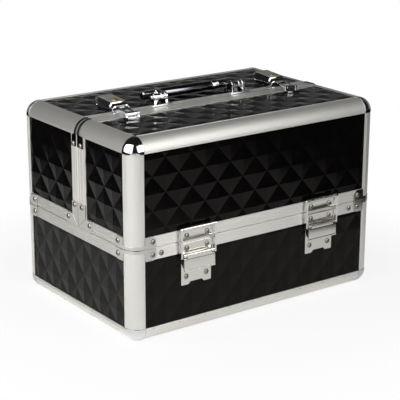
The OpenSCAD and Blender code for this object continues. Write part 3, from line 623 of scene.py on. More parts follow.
def oval_head_screw():
    """One screw at the origin, its seat at z = 0 and its head towards +Z."""
    dome = [(screw_rise * math.sin(a), crown_r + (screw_head - crown_r) * math.cos(a))
            for a in (math.radians(90 * k / 6) for k in range(1, 6))]
    profile = [(-2.0, shank_r), (0, shank_r), (0, screw_head - 0.2), (0.25, screw_head)] + dome
    body = turned(profile + [(screw_rise, crown_r)], Matrix.Identity(4))
    screw = new_object("screw_shape", mesh_of("screw_shape", [body], chrome))
    blade = [(x * recess_long / 2, y * recess_w / 2) for x, y in ((-1, -1), (1, -1), (1, 1), (-1, 1))]
    # One slot is cut a hair deeper, so that their floors don't lie in one plane.
    cross = [bar(blade, Matrix.Rotation(math.radians(turn), 4, "Z"), screw_rise - recess_deep - turn * 1e-3,
                 screw_rise + 1) for turn in (0, 90)]
    cutter = new_object("recess_shape", mesh_of("recess_shape", cross, chrome))
    cut = screw.modifiers.new("recess", "BOOLEAN")
    cut.operation, cut.object, cut.solver, cut.use_self = "DIFFERENCE", cutter, "EXACT", True
    screw.data = plain_mesh(screw, "screw_shape")
    screw.modifiers.clear()
    bpy.data.objects.remove(cutter)
    return screw


def scatter_tree(name):
    """Node tree that sets one shape on each point, turned to face along its normal and spun at random."""
    tree = bpy.data.node_groups.new(name, "GeometryNodeTree")
    tree.interface.new_socket("Geometry", in_out="OUTPUT", socket_type="NodeSocketGeometry")
    for label, kind in (("Points", "Geometry"), ("Shape", "Object"), ("Finish", "Material"),
                        ("Size", "Float"), ("Seed", "Int")):
        tree.interface.new_socket(label, in_out="INPUT", socket_type=f"NodeSocket{kind}")
    given = add_node(tree, "NodeGroupInput").outputs
    facing = add_node(tree, "GeometryNodeInputNamedAttribute", {"Name": "facing"}, data_type="FLOAT_VECTOR")
    aim = add_node(tree, "FunctionNodeAlignRotationToVector", {"Vector": facing.outputs[0]}, axis="Z")
    angle = add_node(tree, "FunctionNodeRandomValue", {"Seed": given["Seed"], 3: math.pi},
                     data_type="FLOAT")
    spin = add_node(tree, "FunctionNodeAxisAngleToRotation", {"Axis": (0, 0, 1), "Angle": angle.outputs[1]})
    turn = add_node(tree, "FunctionNodeRotateRotation", {0: aim.outputs[0], 1: spin.outputs[0]},
                    rotation_space="LOCAL")
    shape = add_node(tree, "GeometryNodeObjectInfo", {"Object": given["Shape"]})
    placed = add_node(tree, "GeometryNodeInstanceOnPoints", {
        "Points": given["Points"], "Instance": shape.outputs["Geometry"], "Rotation": turn.outputs[0],
        "Scale": given["Size"]})
    real = add_node(tree, "GeometryNodeRealizeInstances", {"Geometry": placed.outputs[0]})
    coat = add_node(tree, "GeometryNodeSetMaterial",
                    {"Geometry": real.outputs[0], "Material": given["Finish"]})
    add_node(tree, "NodeGroupOutput", {0: coat.outputs[0]})
    return tree


def scatter(name, points, shape, material, body, nodes):
    """One mesh of the shape at every point; points are (place, direction) in millimetres."""
    data = bpy.data.meshes.new(name)
    data.from_pydata([tuple(Vector(place) * MM) for place, _ in points], [], [])
    data.attributes.new("facing", "FLOAT_VECTOR", "POINT").data.foreach_set(
        "vector", [c for _, direction in points for c in direction])
    piece = new_object(name, data)
    setter = piece.modifiers.new("scatter", "NODES")
    setter.node_group = set_on_points
    sockets = {item.name: item.identifier for item in set_on_points.interface.items_tree
               if item.in_out == "INPUT"}
    for label, value in (("Shape", shape), ("Finish", material), ("Size", 1.0), ("Seed", 3)):
        setter[sockets[label]] = value
    bpy.context.view_layer.update()
    piece.data = plain_mesh(piece, name)
    piece.modifiers.clear()
    piece.data.shade_smooth()
    piece.data.set_sharp_from_angle(angle=math.radians(35))
    hand_over(piece, body, nodes)


def loose_parts(node):
    """Lowest and highest corner of each separate solid in a CAD node, in millimetres."""
    copy = bmesh.new()
    copy.from_mesh(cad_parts[node].data)
    bmesh.ops.remove_doubles(copy, verts=copy.verts, dist=1e-6)
    left, found = set(copy.verts), []
    while left:
        todo, group = [left.pop()], []
        while todo:
            vert = todo.pop()
            group.append(vert.co / MM)
            near = [edge.other_vert(vert) for edge in vert.link_edges]
            todo += [other for other in near if other in left]
            left.difference_update(near)
        found.append([Vector([pick(p[k] for p in group) for k in range(3)]) for pick in (min, max)])
    copy.free()
    return sorted(found, key=lambda pair: tuple(pair[0]))


def seats(node):
    """Seat and outward direction of each screw: the short side of its box lies along its axis."""
    places = []
    for low, high in loose_parts(node):
        size, middle = high - low, (low + high) / 2
        axis = min(range(3), key=lambda k: size[k])
        out = Vector((0, 0, 0))
        out[axis] = math.copysign(1, middle[axis])
        middle[axis] = (high if middle[axis] > 0 else low)[axis]
        places.append((middle - out * screw_rise, out))
    return places


# Small steel screws, zinc plated and tumbled: darker and duller than the sheet metal round them.
screw_zinc = surface("zinc_plated_screw", ("#8f8b86", "#a5a19b"), (0.22, 0.34), haze=(1.4286, 2, NOISE),
                     Metallic=1.0)
set_on_points = scatter_tree("set_on_points")
screw_shape = oval_head_screw()
for body in ("base", "front_lid", "rear_lid"):
    scatter(f"{body}_oval_screws", seats(f"{body}_screws"), screw_shape, screw_zinc, body,
            [f"{body}_screws"])
bpy.data.objects.remove(screw_shape)


# ------------------------------------------------------------------------------------------------
# Floor and lining. The floor panel is pressed like the sides. A foam pad and four thin boards covered
# in flocked cloth line the base and are glued to its walls.

flock_thick = 2.5
floor_skin = 0.9


def moulded(low, high, rows):
    """A closed skin through rounded rectangles set in from a box; rows are (inset, height, radius)."""
    rings = []
    for inset, z, radius in rows:
        x0, y0, x1, y1 = (low.x + inset + radius, low.y + inset + radius, high.x - inset - radius,
                          high.y - inset - radius)
        ring = []
        for x, y, start in ((x1, y0, -90), (x1, y1, 0), (x0, y1, 90), (x0, y0, 180)):
            ring += arc(x, y, radius, start, start + 90, 5)
        rings.append([(x, y, z) for x, y in ring])
    return skin(rings, Matrix.Identity(4))


floor_panel = diamond_panel(lay(X, Y, -Z, floor_skin * Z), (-panel_x, panel_inset - half_d),
                            (panel_x, half_d - panel_inset), (0, 0), LOW_CORNERS + HIGH_CORNERS)
finish_piece("base_floor_panel_skin", [floor_panel], abs_laminate, "base", ["base_floor_panel"],
             bevel=0.7, sharp=3)

# Short black nylon flock on cloth: no shine, a pale bloom at grazing angles and a brushed nap. Its fibres
# are about 0.1 mm apart, and are drawn six times as coarse so that they show.
flock = surface("flocked_cloth", ("#0e0e10", "#1c1c1f"), 0.95, haze=(45.45, 3, NOISE), twist=0.6,
                relief=(0.625, 2, NOISE), press=(0.5, 0.3),
                **{"Specular IOR Level": 0.16, "Sheen Weight": 0.35, "Sheen Roughness": 0.4})
lining_low, lining_high = box_mm("base_lining")
pad, brim, inner = lining_low.z, lining_high.z, flock_thick
lining = moulded(lining_low, lining_high, [(1.0, pad, 10), (0.2, pad + 0.6, 10.5), (0, pad + 2, 11),
                                           (0, brim - 1.2, 11), (0.35, brim - 0.35, 10.8),
                                           (inner / 2, brim, 10), (inner - 0.35, brim - 0.35, 9),
                                           (inner, brim - 1.2, 8.6), (inner, pad + 8, 8.6),
                                           (inner + 0.5, pad + 5.5, 8.2), (inner + 2.2, pad + 4.2, 7.5),
                                           (inner + 9, pad + 3.6, 7), (inner + 30, pad + 3.2, 7)])
finish_piece("base_flocked_lining", [lining], flock, "base", ["base_lining"], sharp=60)


# ------------------------------------------------------------------------------------------------
# Arms. Zinc plated flat steel, in pairs at both ends of each half. Rivets hold them to plates on the
# walls and to the trays, and both halves swing out on them with the trays kept level.

outer_low, outer_high = box_mm("front_outer_arms")
arm_w = 9.0
arm_t = 2.0
tray_gap = 0.8                      # between an arm and a tray's end
arm_in = half_w - box_mm("front_upper_tray")[1].x - tray_gap
arm_low = Vector((outer_low.y + arm_w / 2 + half_d, outer_low.z + arm_w / 2))
arm_high = Vector((outer_high.y - arm_w / 2 + half_d, outer_high.z - arm_w / 2))
arm_pitch = box_mm("front_inner_arms")[0].y - outer_low.y
tray_heights = [sum(corner.z for corner in box_mm(f"front_{name}")) / 2
                for name in ("lower_tray", "upper_tray")]
tray_wall = 1.8
plate_pad = 6.4                     # a pivot plate reaches this far round its outer pivot
plate_end = 4.2                     # and this far past its inner one
plate_thick = 3.2
plate_back = half_w - box_mm("base_arm_plates")[1].x
rivet_r = 2.0
rivet_head = 3.6
rivet_rise = 1.2


def flat_arm(matrix, shift):
    lean = math.degrees((arm_high - arm_low).angle_signed(Vector((1, 0))))
    outline = (arc(arm_high.x + shift, arm_high.y, arm_w / 2, lean - 90, lean + 90, 12)
               + arc(arm_low.x + shift, arm_low.y, arm_w / 2, lean + 90, lean + 270, 12))
    return bar(outline, matrix @ ALONG_X, arm_in - arm_t, arm_in)


def oblong(x0, x1, y0, y1, radius):
    return rounded([(x0, y0), (x1, y0), (x1, y1), (x0, y1)], radius)


def pivot_plate(matrix, place, pad_to=None):
    """Plate for the two pivots of a pair of arms, with rounded corners and a pad to the wall."""
    y0, y1 = place.x - plate_pad, place.x + arm_pitch + plate_end
    z0, z1 = place.y - plate_pad, place.y + plate_pad
    plate = [bar(oblong(y0, y1, z0, z1, 3.0), matrix @ ALONG_X, plate_back, plate_back + plate_thick)]
    if pad_to:
        plate.append(bar(oblong(y0, pad_to, z0, z1, 1.0), matrix @ ALONG_X, lip + panel_thick + 0.05,
                         plate_back + 0.3))
    return plate


def domed_rivet():
    """One rivet at the origin, its seat at z = 0 and its head towards +Z."""
    dome = [(rivet_rise * math.sin(math.radians(a)), rivet_head * math.cos(math.radians(a)))
            for a in (12, 35, 55, 75)]
    body = turned([(-4.6, rivet_r), (0, rivet_r), (0, rivet_head - 0.15)] + dome + [(rivet_rise, 0)],
                  Matrix.Identity(4), ring=18)
    return new_object("rivet_shape", mesh_of("rivet_shape", [body], zinc))


# Rolled steel with bright zinc plate: bluish grey satin metal with soft cloudy spangle.
zinc = surface("zinc_plated_steel", ("#b9bdc2", "#cfd2d6"), (0.24, 0.38), haze=(7.143, 3, NOISE),
               Metallic=1.0)
rivet_shape = domed_rivet()
plates = [pivot_plate(half @ end, arm_low) for side, half, depth in HALVES for end in ENDS]
finish_piece("base_pivot_plates", plates, zinc, "base", ["base_arm_plates"], bevel=0.35)
for side, half, depth in HALVES:
    pad_end = reach_in(side, "arm_plates")
    finish_piece(f"{side}_lid_pivot_plates", [pivot_plate(half @ end, arm_high, pad_end) for end in ENDS],
                 zinc, f"{side}_lid", [f"{side}_lid_arm_plates"], bevel=0.35)
    for name, shift in (("outer", 0.0), ("inner", arm_pitch)):
        # Rivets at both pivots, and a head on either side of each tray wall.
        rivets = [(arm_in, height, 1) for height in (arm_low.y, arm_high.y)]
        for height in tray_heights:
            rivets += [(arm_in - arm_t, height, -1), (arm_in + tray_gap + tray_wall, height, 1)]
        points = []
        for end in ENDS:
            for x, height, out in rivets:
                along = arm_low.lerp(arm_high, (height - arm_low.y) / (arm_high.y - arm_low.y))
                points.append((half @ end @ Vector((x, along.x + shift, along.y)),
                               (half @ end).to_3x3() @ (out * X)))
        body = f"{side}_{name}_arms"
        finish_piece(f"{side}_{name}_flat_arms", [flat_arm(half @ end, shift) for end in ENDS], zinc, body,
                     [body], bevel=0.3)
        scatter(f"{side}_{name}_arm_rivets", points, rivet_shape, zinc, body, [body])
bpy.data.objects.remove(rivet_shape)


# ------------------------------------------------------------------------------------------------
# Trays. Injection moulded black ABS with a rolled rim. The lower ones have fixed ribs; the upper ones
# have guides on their long walls that hold three loose dividers.

tray_rim = 2.6
divider_t = 1.6
guide_t = 1.0
notch = 13.0                        # half the width of the finger notch in a divider
wall_in = 1.6                       # ribs and guides start this far inside a tray's outer box
guide_lap = 1.6                     # a guide reaches this far past the end of its divider

# Moulded black ABS from a spark-eroded tool: dark, half matt, with a fine even grain. The real grain is
# about 0.2 mm wide, and is drawn four to five times as coarse so that it shows.
tray_abs = surface("grained_black_abs", "#161617", (0.40, 0.52), haze=(71.43, 2, NOISE), band=(0, 1),
                   relief=(0.9091, 0, CELLS), press=(0.25, 0.2), IOR=1.53)
# Polished black ABS sheet: darker and shinier than the trays, with faint handling haze.
divider_abs = surface("divider_abs_sheet", "#1b1b1d", (0.20, 0.34), haze=(20, 4, NOISE), band=(0, 1),
                      IOR=1.53)


def tray_shell(low, high):
    z0, z1, wall = low.z, high.z, tray_wall
    return moulded(low, high, [(4.0, z0, 3), (1.6, z0, 4), (0.9, z0 + 0.7, 4.5), (0.8, z0 + 1.6, 4.6),
                               (0.5, z1 - tray_rim - 0.6, 4.8), (0.1, z1 - tray_rim, 5),
                               (0, z1 - tray_rim + 0.4, 5), (0, z1 - 0.5, 5), (0.3, z1 - 0.1, 4.8),
                               (0.7, z1, 4.5), (wall + 0.3, z1, 3.4), (wall + 0.6, z1 - 0.2, 3.2),
                               (wall + 0.7, z1 - 0.7, 3.1), (wall + 0.75, z0 + wall + 2.5, 3.0),
                               (wall + 1.1, z0 + wall + 1.0, 2.8), (wall + 2.2, z0 + wall + 0.1, 2.6),
                               (wall + 4, z0 + wall, 2.2)])


def rib(x, thick, y0, y1, z0, z1):
    """A thin wall across a tray with a rounded top edge."""
    side = [(thick / 2 + 0.15, z0), (thick / 2, z1 - 0.5), (thick / 4, z1)]
    return bar([(x + across, z) for across, z in side] + [(x - across, z) for across, z in side[::-1]],
               ALONG_Y, y0, y1)


for side, half, depth in HALVES:
    low, high = box_mm(f"{side}_lower_tray")
    span = (high.x - low.x - tray_wall) / 5
    ribs = [rib(low.x + tray_wall / 2 + k * span, tray_wall - 0.3, low.y + wall_in, high.y - wall_in,
                low.z + 1.0, high.z - 1.2) for k in range(1, 5)]
    finish_piece(f"{side}_lower_moulded_tray", [tray_shell(low, high), ribs], tray_abs,
                 f"{side}_lower_tray", [f"{side}_lower_tray"], sharp=50)

    low, high = box_mm(f"{side}_upper_tray")
    lower, upper = box_mm(f"{side}_tray_dividers")
    middle, span = (lower.y + upper.y) / 2, (high.x - low.x - 2 * tray_wall) / 4
    guides, boards = [], []
    board = rounded([(lower.y, lower.z), (upper.y, lower.z), (upper.y, upper.z), (middle + notch, upper.z),
                     (middle + notch - 4, upper.z - 5), (middle - notch + 4, upper.z - 5),
                     (middle - notch, upper.z), (lower.y, upper.z)], 2.0)
    for x in (-span, 0, span):
        for hand in (-1, 1):
            for y0, y1 in ((low.y + wall_in, lower.y + guide_lap), (upper.y - guide_lap, high.y - wall_in)):
                guides.append(rib(x + hand * (divider_t / 2 + 0.75), guide_t, y0, y1, low.z + 1.0,
                                  high.z - 2.5))
        boards.append(bar(board, ALONG_X, x - divider_t / 2, x + divider_t / 2))
    finish_piece(f"{side}_upper_moulded_tray", [tray_shell(low, high), guides], tray_abs,
                 f"{side}_upper_tray", [f"{side}_upper_tray"], sharp=50)
    finish_piece(f"{side}_divider_boards", boards, divider_abs, f"{side}_upper_tray",
                 [f"{side}_tray_dividers"], bevel=0.25)


# ------------------------------------------------------------------------------------------------
# Side latches. Nickel plated draw latches, two on each long face: a plate with a rolled barrel on the
# lid, a chromed frame that hangs from it, and a lever that turns on a stepped plate on the base.

lever_low, lever_high = box_mm("front_right_lever")
latch_x = (lever_low.x + lever_high.x) / 2
plate_w = lever_high.x - lever_low.x
flap_foot = lever_low.z + 1.0
latch_sheet = 1.2
lever_pin = Vector((-4.4, rim_top - 15.6))
hasp_pin = Vector((-3.9, lid_foot + 15.0))
barrel_r = 2.6
curl_r = barrel_r - latch_sheet / 2     # radius of a rolled barrel's centre line
pin_r = 1.3
tail_foot = box_mm("side_latch_base_plates")[0].z
step_z = rim_top - rim_w
lug_w = 4.6
frame_in = plate_w / 2 + 0.7
frame_w = 2.3
frame_deep = 3.2


def thick_path(points, thick):
    """Outline of a sheet of that thickness along a centre line."""
    line = [Vector(p) for p in points]
    sides = ([], [])
    for k, here in enumerate(line):
        back = (here - line[k - 1]).normalized() if k else (line[1] - line[0]).normalized()
        ahead = (line[k + 1] - here).normalized() if k + 1 < len(line) else back
        along = (back + ahead).normalized()
        across = Vector((-along.y, along.x)) * thick / 2 / max(0.4, along.dot(ahead))
        sides[0].append(tuple(here + across))
        sides[1].append(tuple(here - across))
    return sides[0] + sides[1][::-1]


def at(matrix, x=0.0, y=0.0, z=0.0):
    return matrix @ Matrix.Translation((x, y, z))


def folded(line, matrix, width):
    """A strip of latch sheet, folded along a line of its side view."""
    return bar(thick_path(line, latch_sheet), matrix @ ALONG_X, -width / 2, width / 2)


def cheeks(outline, matrix, middle, thick):
    """Two flat pieces of that side view, one on either hand."""
    return [bar(outline, matrix @ ALONG_X, hand * middle - thick / 2, hand * middle + thick / 2)
            for hand in (-1, 1)]


def rod(matrix, axis, half, ring=16):
    """A turned pin across a latch, alike at both ends; half holds (distance from its middle, radius)."""
    return turned([(-along, radius) for along, radius in half[::-1]] + half, at(matrix, 0, *axis) @ ALONG_X,
                  ring)


def side_lid_plate(matrix):
    """Plate with a curled foot and a barrel rolled round the frame's rod."""
    face = -latch_sheet / 2
    line = [(face - 1.5, lid_foot + 2.3), (face - 0.9, lid_foot + 1.7), (face - 0.2, lid_foot + 1.9),
            (face, lid_foot + 2.8), (face, hasp_pin.y - 4.4), (face - 0.6, hasp_pin.y - 2.6)]
    return folded(line + arc(*hasp_pin, curl_r, -10, 280, 16), matrix, plate_w)


def side_base_plate(matrix):
    """Stepped plate: screwed to the rim strip above, and to the panel by its notched tail below."""
    face, top = -latch_sheet / 2, rim_top - 2.4
    line = [(-face, step_z - 4.0), (-face, step_z - 1.3), (face, step_z - 0.6), (face, top - 1.0),
            (face - 0.3, top - 0.2), (face - 1.1, top)]
    half, shoulder = plate_w / 2 - 0.6, 8.5
    tail = [(-half, tail_foot), (-shoulder - 2, tail_foot), (-shoulder, tail_foot + 3),
            (shoulder, tail_foot + 3), (shoulder + 2, tail_foot), (half, tail_foot), (half, step_z - 2),
            (-half, step_z - 2)]
    lug = arc(*lever_pin, barrel_r, 90, 270, 10) + [(1.0, lever_pin.y - barrel_r),
                                                    (1.0, lever_pin.y + barrel_r)]
    return [folded(line, matrix, plate_w), bar(rounded(tail, 1.3), matrix @ ON_FACE, -latch_sheet, 0),
            cheeks(lug, matrix, (plate_w - lug_w) / 2, lug_w),
            rod(matrix, lever_pin, [(plate_w / 2 + 0.3, pin_r)])]


def side_lever(matrix):
    """Lever: barrel and neck between the lugs, then a wide flap with a joggled foot and side cheeks."""
    flap_top = lever_pin.y - barrel_r - 1.0
    out = lever_pin.x - curl_r
    neck = arc(*lever_pin, curl_r, -60, 180, 14) + [(out, flap_top - 0.4)]
    flap = [(out + 0.9, flap_top), (out + 0.1, flap_top - 0.5), (out - 0.1, flap_top - 1.8),
            (out - 0.2, flap_foot + 1.4), (out - 1.0, flap_foot + 1.0), (out - 1.0, flap_foot)]
    cheek = [(out + 0.3, flap_top - 0.6), (-0.6, flap_top - 0.6), (-0.6, flap_top - 7),
             (out + 0.5, flap_foot + 2.6)]
    return [folded(neck, matrix, plate_w - 2 * lug_w - 0.6), folded(flap, matrix, plate_w),
            cheeks(rounded(cheek, 0.8), matrix, (plate_w - latch_sheet) / 2, latch_sheet)]


def side_hasp(matrix):
    """Frame: a rod through the lid barrel with a flat arm down each side of the lever."""
    reach, half = frame_in + frame_w, frame_deep / 2
    outline = (arc(*hasp_pin, 2.2, 0, 180, 10) + [(hasp_pin.x - half, hasp_pin.y - 3.5)]
               + arc(hasp_pin.x, lever_pin.y - 2.4, half, 180, 360, 8)
               + [(hasp_pin.x + half, hasp_pin.y - 3.5)])
    return [cheeks(outline, matrix, frame_in + frame_w / 2, frame_w),
            rod(matrix, hasp_pin, [(reach, pin_r), (reach + 0.1, 1.5), (reach + 0.5, 0.9)])]


# Steel sheet, barrel plated in nickel: pale warm grey with a soft shine and faint rubbing marks. They are
# about 0.1 mm apart, and are drawn ten times as coarse so that they show.
nickel = surface("satin_nickel_plate", ("#e0ddd5", "#ebe9e3"), (0.15, 0.22),
                 haze=((16.67, 16.67, 1.111), 3, NOISE), Metallic=1.0)
BOTH_HANDS = ((-1, "left"), (1, "right"))
plates = [side_base_plate(at(half, hand * latch_x)) for side, half, depth in HALVES
          for hand, name in BOTH_HANDS]
finish_piece("side_latch_stepped_plates", plates, nickel, "base", ["side_latch_base_plates"],
             bevel=0.25, sharp=40)
for side, half, depth in HALVES:
    for hand, name in BOTH_HANDS:
        latch, here = f"{side}_{name}", at(half, hand * latch_x)
        finish_piece(f"{latch}_folded_lever", side_lever(here), nickel, f"{latch}_lever",
                     [f"{latch}_lever"], bevel=0.25, sharp=40)
        finish_piece(f"{latch}_draw_frame", side_hasp(here), chrome, f"{latch}_hasp", [f"{latch}_hasp"],
                     bevel=0.3, sharp=40)


# ------------------------------------------------------------------------------------------------
# Top latches. Two locking latches over the seam: zinc die castings, chrome plated. A lever with
# blasted steel cover plates and a brass key cylinder holds a hasp that is hinged on the front lid.

lever_low, lever_high = box_mm("right_top_lever")
top_x = (lever_low.x + lever_high.x) / 2
lever_w = lever_high.x - lever_low.x
tail = lever_high.y
seam_front, seam_rear = box_mm("front_lid_strips")[1].y, box_mm("rear_lid_strips")[0].y
top_pin = Vector((seam_rear + 36.0, case_top + 5.0))
hasp_hinge = Vector((seam_front - 20.5, case_top + 3.6))
plate_half = (lever_w - 5) / 2
plate_t = 1.2
key_low, key_high = box_mm("right_key_cylinder")
key_y = (key_low.y + key_high.y) / 2
key_r = (key_high.x - key_low.x) / 2
nose = Vector((lever_low.y + 4.4, lever_low.z + 4.4))
cover_start = nose.x + 1.4
cover_low, cover_high = case_top + 12.6, lever_high.z - 0.35
cover_rise = (cover_high - cover_low) / (tail - 1.8 - cover_start)


def eared_plate(matrix, start, end, sunk, axis, ear_r, ear_t):
    """Plate on a lid with two lugs for a pin."""
    foot_z = case_top + plate_t / 2
    side = arc(*axis, ear_r, 0, 180, 10) + [(axis.x - ear_r, foot_z), (axis.x + ear_r, foot_z)]
    return [bar(oblong(-plate_half, plate_half, start, end, 2.0), at(matrix, 0, 0, case_top), sunk, plate_t),
            cheeks(side, matrix, plate_half - ear_t / 2, ear_t)]


def top_base_plate(matrix):
    """Plate on the rear lid for the lever, with its pin."""
    reach = plate_half + 2.9
    return [eared_plate(matrix, seam_rear + 0.6, top_pin.x + 5, skim, top_pin, 2.4, 3.0),
            rod(matrix, top_pin, [(reach - 0.4, 1.5), (reach, 1.1)])]


def top_hasp_plate(matrix):
    """Plate on the front lid for the hasp."""
    return eared_plate(matrix, hasp_hinge.x - 9, hasp_hinge.x + 3, -1.1, hasp_hinge, 2.6, 2.6)


def lever_arch(low, high):
    """Section of the lever, open below, with sloping shoulders; points are (across, height)."""
    half = lever_w / 2
    drop, wall = min(3.4, 0.45 * (high - low)), min(1.6, 0.4 * (high - low))
    outer = [(half, low), (half, high - drop), (half - 2.4, high)]
    inner = [(half - wall, low), (half - wall, high - drop - 0.3), (half - 2.4 - wall / 2, high - wall)]
    return [(-x, z) for x, z in outer] + outer[::-1] + inner + [(-x, z) for x, z in inner[::-1]]


def top_lever(matrix):
    """Cast lever: a rolled nose over the hasp's bar, a step, and a top that climbs to the tail."""
    low, drop = lever_low.z, nose.y - lever_low.z
    rows = [(nose.x - drop * math.cos(a), nose.y - drop * math.sin(a), nose.y + drop * math.sin(a))
            for a in (math.radians(angle) for angle in (12, 28, 45, 62, 78, 90))]
    rows += [(cover_start - 0.5, low, nose.y + 4.4), (cover_start, low, cover_low),
             (tail - 8, low, cover_low + cover_rise * (tail - 8 - cover_start)),
             (tail - 1.8, low + 1.6, cover_high - 0.1), (tail - 0.5, low + 2.2, cover_high - 0.5),
             (tail, low + 2.6, cover_high - 1.4)]
    arches = [[(x, y, z) for x, z in lever_arch(foot_z, top_z)] for y, foot_z, top_z in rows]
    back_foot = rows[-1][1]
    back = [(tail - 1.4, back_foot), (tail - 0.3, back_foot), (tail - 0.3, cover_high - 2.2),
            (tail - 1.4, cover_high - 2.2)]
    return [skin(arches, matrix), bar(back, matrix @ ALONG_X, 0.3 - lever_w / 2, lever_w / 2 - 0.3)]


def lever_cover(matrix):
    """Cover plates on the lever's top: a long one round the key, a short one on the tail."""
    start, end, half = cover_start + 0.2, tail - 2.0, lever_w / 2 - 2.6
    split = start + 0.66 * (end - start)
    slope = lay(X, Y + cover_rise * Z, Z, (cover_low - cover_rise * cover_start) * Z)
    return [bar(oblong(-half, half, low, high, 0.8), matrix @ slope, -0.4, 0.3)
            for low, high in ((start, split - 0.3), (split + 0.3, end))]


def top_hasp(matrix):
    """Hasp: a barrel on the front lid, a slotted tongue over the seam and a cross bar under the lever."""
    half = plate_half - 2.9
    reach, lift = seam_rear + 4.6 - hasp_hinge.x, 4.6
    tongue = at(matrix, 0, *hasp_hinge) @ Matrix.Rotation(math.atan2(lift, reach), 4, "X")
    side = half - 2.9
    return [rod(matrix, hasp_hinge, [(half - 0.3, 2.4), (half, 2.1)]),
            [bar(oblong(low, low + 3.0, 0, reach, 0.6), tongue, -0.9, 0.9) for low in (-half, half - 3.0)],
            [bar([(-side, low), (side, low), (side, high), (-side, high)], tongue, -0.88, 0.88)
             for low, high in ((2.0, 6.0), (reach - 5.0, reach))],
            rod(matrix, hasp_hinge + Vector((reach, lift)), [(half + 1.1, 1.7), (half + 1.4, 1.3)])]


def key_cylinder(matrix):
    """Key cylinder with a chamfered rim and a straight keyway."""
    top, here = key_high.z, at(matrix, 0, key_y)
    halves = [bar([(x * hand, y) for x, y in arc(0, 0, key_r, -82, 82, 14)], here, top - 6, top)
              for hand in (-1, 1)]
    return halves + [turned([(top - 6, key_r * 0.98), (top - 1.6, key_r * 0.98)], here, ring=28)]


# Machined brass key cylinder: warm yellow metal with fine marks of the tool on its face, which are drawn
# ten times as coarse as the real 0.1 mm so that they show.
brass = surface("polished_brass", ("#bfa262", "#d6bd80"), (0.16, 0.30), haze=(1.111, 2, NOISE), band=(0, 1),
                Metallic=1.0)
# Bead blasted and clear lacquered steel: an even mid grey that stays dull beside the chrome. Its pits are
# about 0.1 mm wide, and are drawn some six times as coarse so that they show.
cover_steel = surface("bead_blasted_steel", ("#a9a69f", "#bbb8b1"), 0.48, haze=(0.6667, 2, NOISE),
                      press=(0.08, 0.2), Metallic=0.6)
for side, half, depth in HALVES:
    lid, nodes = f"{side}_lid", [f"{side}_lid_latch_plates"]
    top_plate = top_hasp_plate if side == "front" else top_base_plate
    finish_piece(f"{side}_lid_barrel_plates", [side_lid_plate(at(half, hand * latch_x))
                                               for hand in (-1, 1)], nickel, lid, nodes,
                 bevel=0.25, sharp=40)
    finish_piece(f"{side}_top_latch_plates", [top_plate(Matrix.Translation((hand * top_x, 0, 0)))
                                              for hand in (-1, 1)], chrome, lid, nodes,
                 bevel=0.25, sharp=40)
for hand, name in BOTH_HANDS:
    here = Matrix.Translation((hand * top_x, 0, 0))
    for shape, draw, material, node, slot, bevel in (
            ("top_cast_lever", top_lever, chrome, "top_lever", "chrome", 0.4),
            ("top_lever_cover", lever_cover, cover_steel, "top_lever", "chrome", 0.15),
            ("top_slotted_hasp", top_hasp, chrome, "top_hasp", "chrome", 0.2),
            ("key_barrel", key_cylinder, brass, "key_cylinder", "brass", 0.25)):
        finish_piece(f"{name}_{shape}", draw(here), material, f"{name}_{node}", [f"{name}_{node}"],
                     bevel=bevel, sharp=40)


# ------------------------------------------------------------------------------------------------
# Handle. Chrome plated cast feet with two ears each carry a bail of flat links. Its bar holds a smooth
# black chromed ABS grip between chrome ferrules, and it folds down flat behind the seam.

ear_thick = 3.0
ear_gap = 13.4
foot_pad = 5.0                      # the foot reaches this far past its outer ear
foot_t = 2.4
foot_out = -box_mm("handle_brackets")[0].x - foot_pad
handle_in = foot_out - 2 * ear_thick - ear_gap
handle_pin = Vector((4.0, case_top + 9.5))
ear_r = 5.6
grip_low, grip_high = box_mm("handle_grip")
grip_axis = Vector(((grip_low.y + grip_high.y) / 2, (grip_low.z + grip_high.z) / 2))
grip_r = (grip_high.y - grip_low.y) / 2
grip_half = grip_high.x


def handle_foot(matrix):
    """Cast foot on the rear lid's strip, with two ears and the pin between them."""
    plate = oblong(-foot_out - foot_pad, -handle_in + 4, seam_rear + 1, handle_pin.x + 9, 2.2)
    x = handle_pin.x
    side = (arc(*handle_pin, ear_r, 0, 180, 16)
            + [(x - ear_r, case_top + 4.0), (x - ear_r - 1.2, case_top + 1.2),
               (x + ear_r + 1.2, case_top + 1.2), (x + ear_r, case_top + 4.0)])
    pin = [(-foot_out - 2, 1.2), (-foot_out - 1.5, 2.4), (-foot_out - 0.1, 2.6), (-foot_out, 1.8),
           (-handle_in, 1.8)]
    return [bar(plate, at(matrix, 0, 0, case_top), skim, foot_t),
            [bar(side, matrix @ ALONG_X, x, x + ear_thick) for x in (-handle_in - ear_thick, -foot_out)],
            turned(pin, at(matrix, 0, *handle_pin) @ ALONG_X, ring=20)]


def bail_side(matrix):
    """Barrel on the pin, a flat link back to the bar, and the chrome ferrule that holds the grip."""
    middle, half = handle_in + ear_thick + ear_gap / 2, ear_gap / 2 - 0.3
    here = at(matrix, -middle, *handle_pin)
    groove = [(1.8, 3.7), (2.2, 4.4), (half - 0.4, 4.4), (half, 3.9)]
    reach, sink = grip_axis.x - handle_pin.x, handle_pin.y - grip_axis.y
    start, end = -half, middle - grip_half - 0.1
    ferrule = [(start, grip_r - 1.6), (start + 0.8, grip_r - 0.7), (end - 8.4, grip_r - 0.6),
               (end - 8.0, grip_r - 1.1), (end - 7.2, grip_r - 1.1), (end - 6.8, grip_r - 0.2),
               (end - 0.5, grip_r - 0.1), (end, grip_r - 0.5)]
    sloping = here @ Matrix.Rotation(-math.atan2(sink, reach), 4, "X")
    return [rod(here, (0, 0), groove, ring=28), bar(oblong(-half, half, 2.0, reach, 0.6), sloping, -2.0, 2.0),
            turned(ferrule, at(matrix, -middle, *grip_axis) @ ALONG_X, ring=32)]


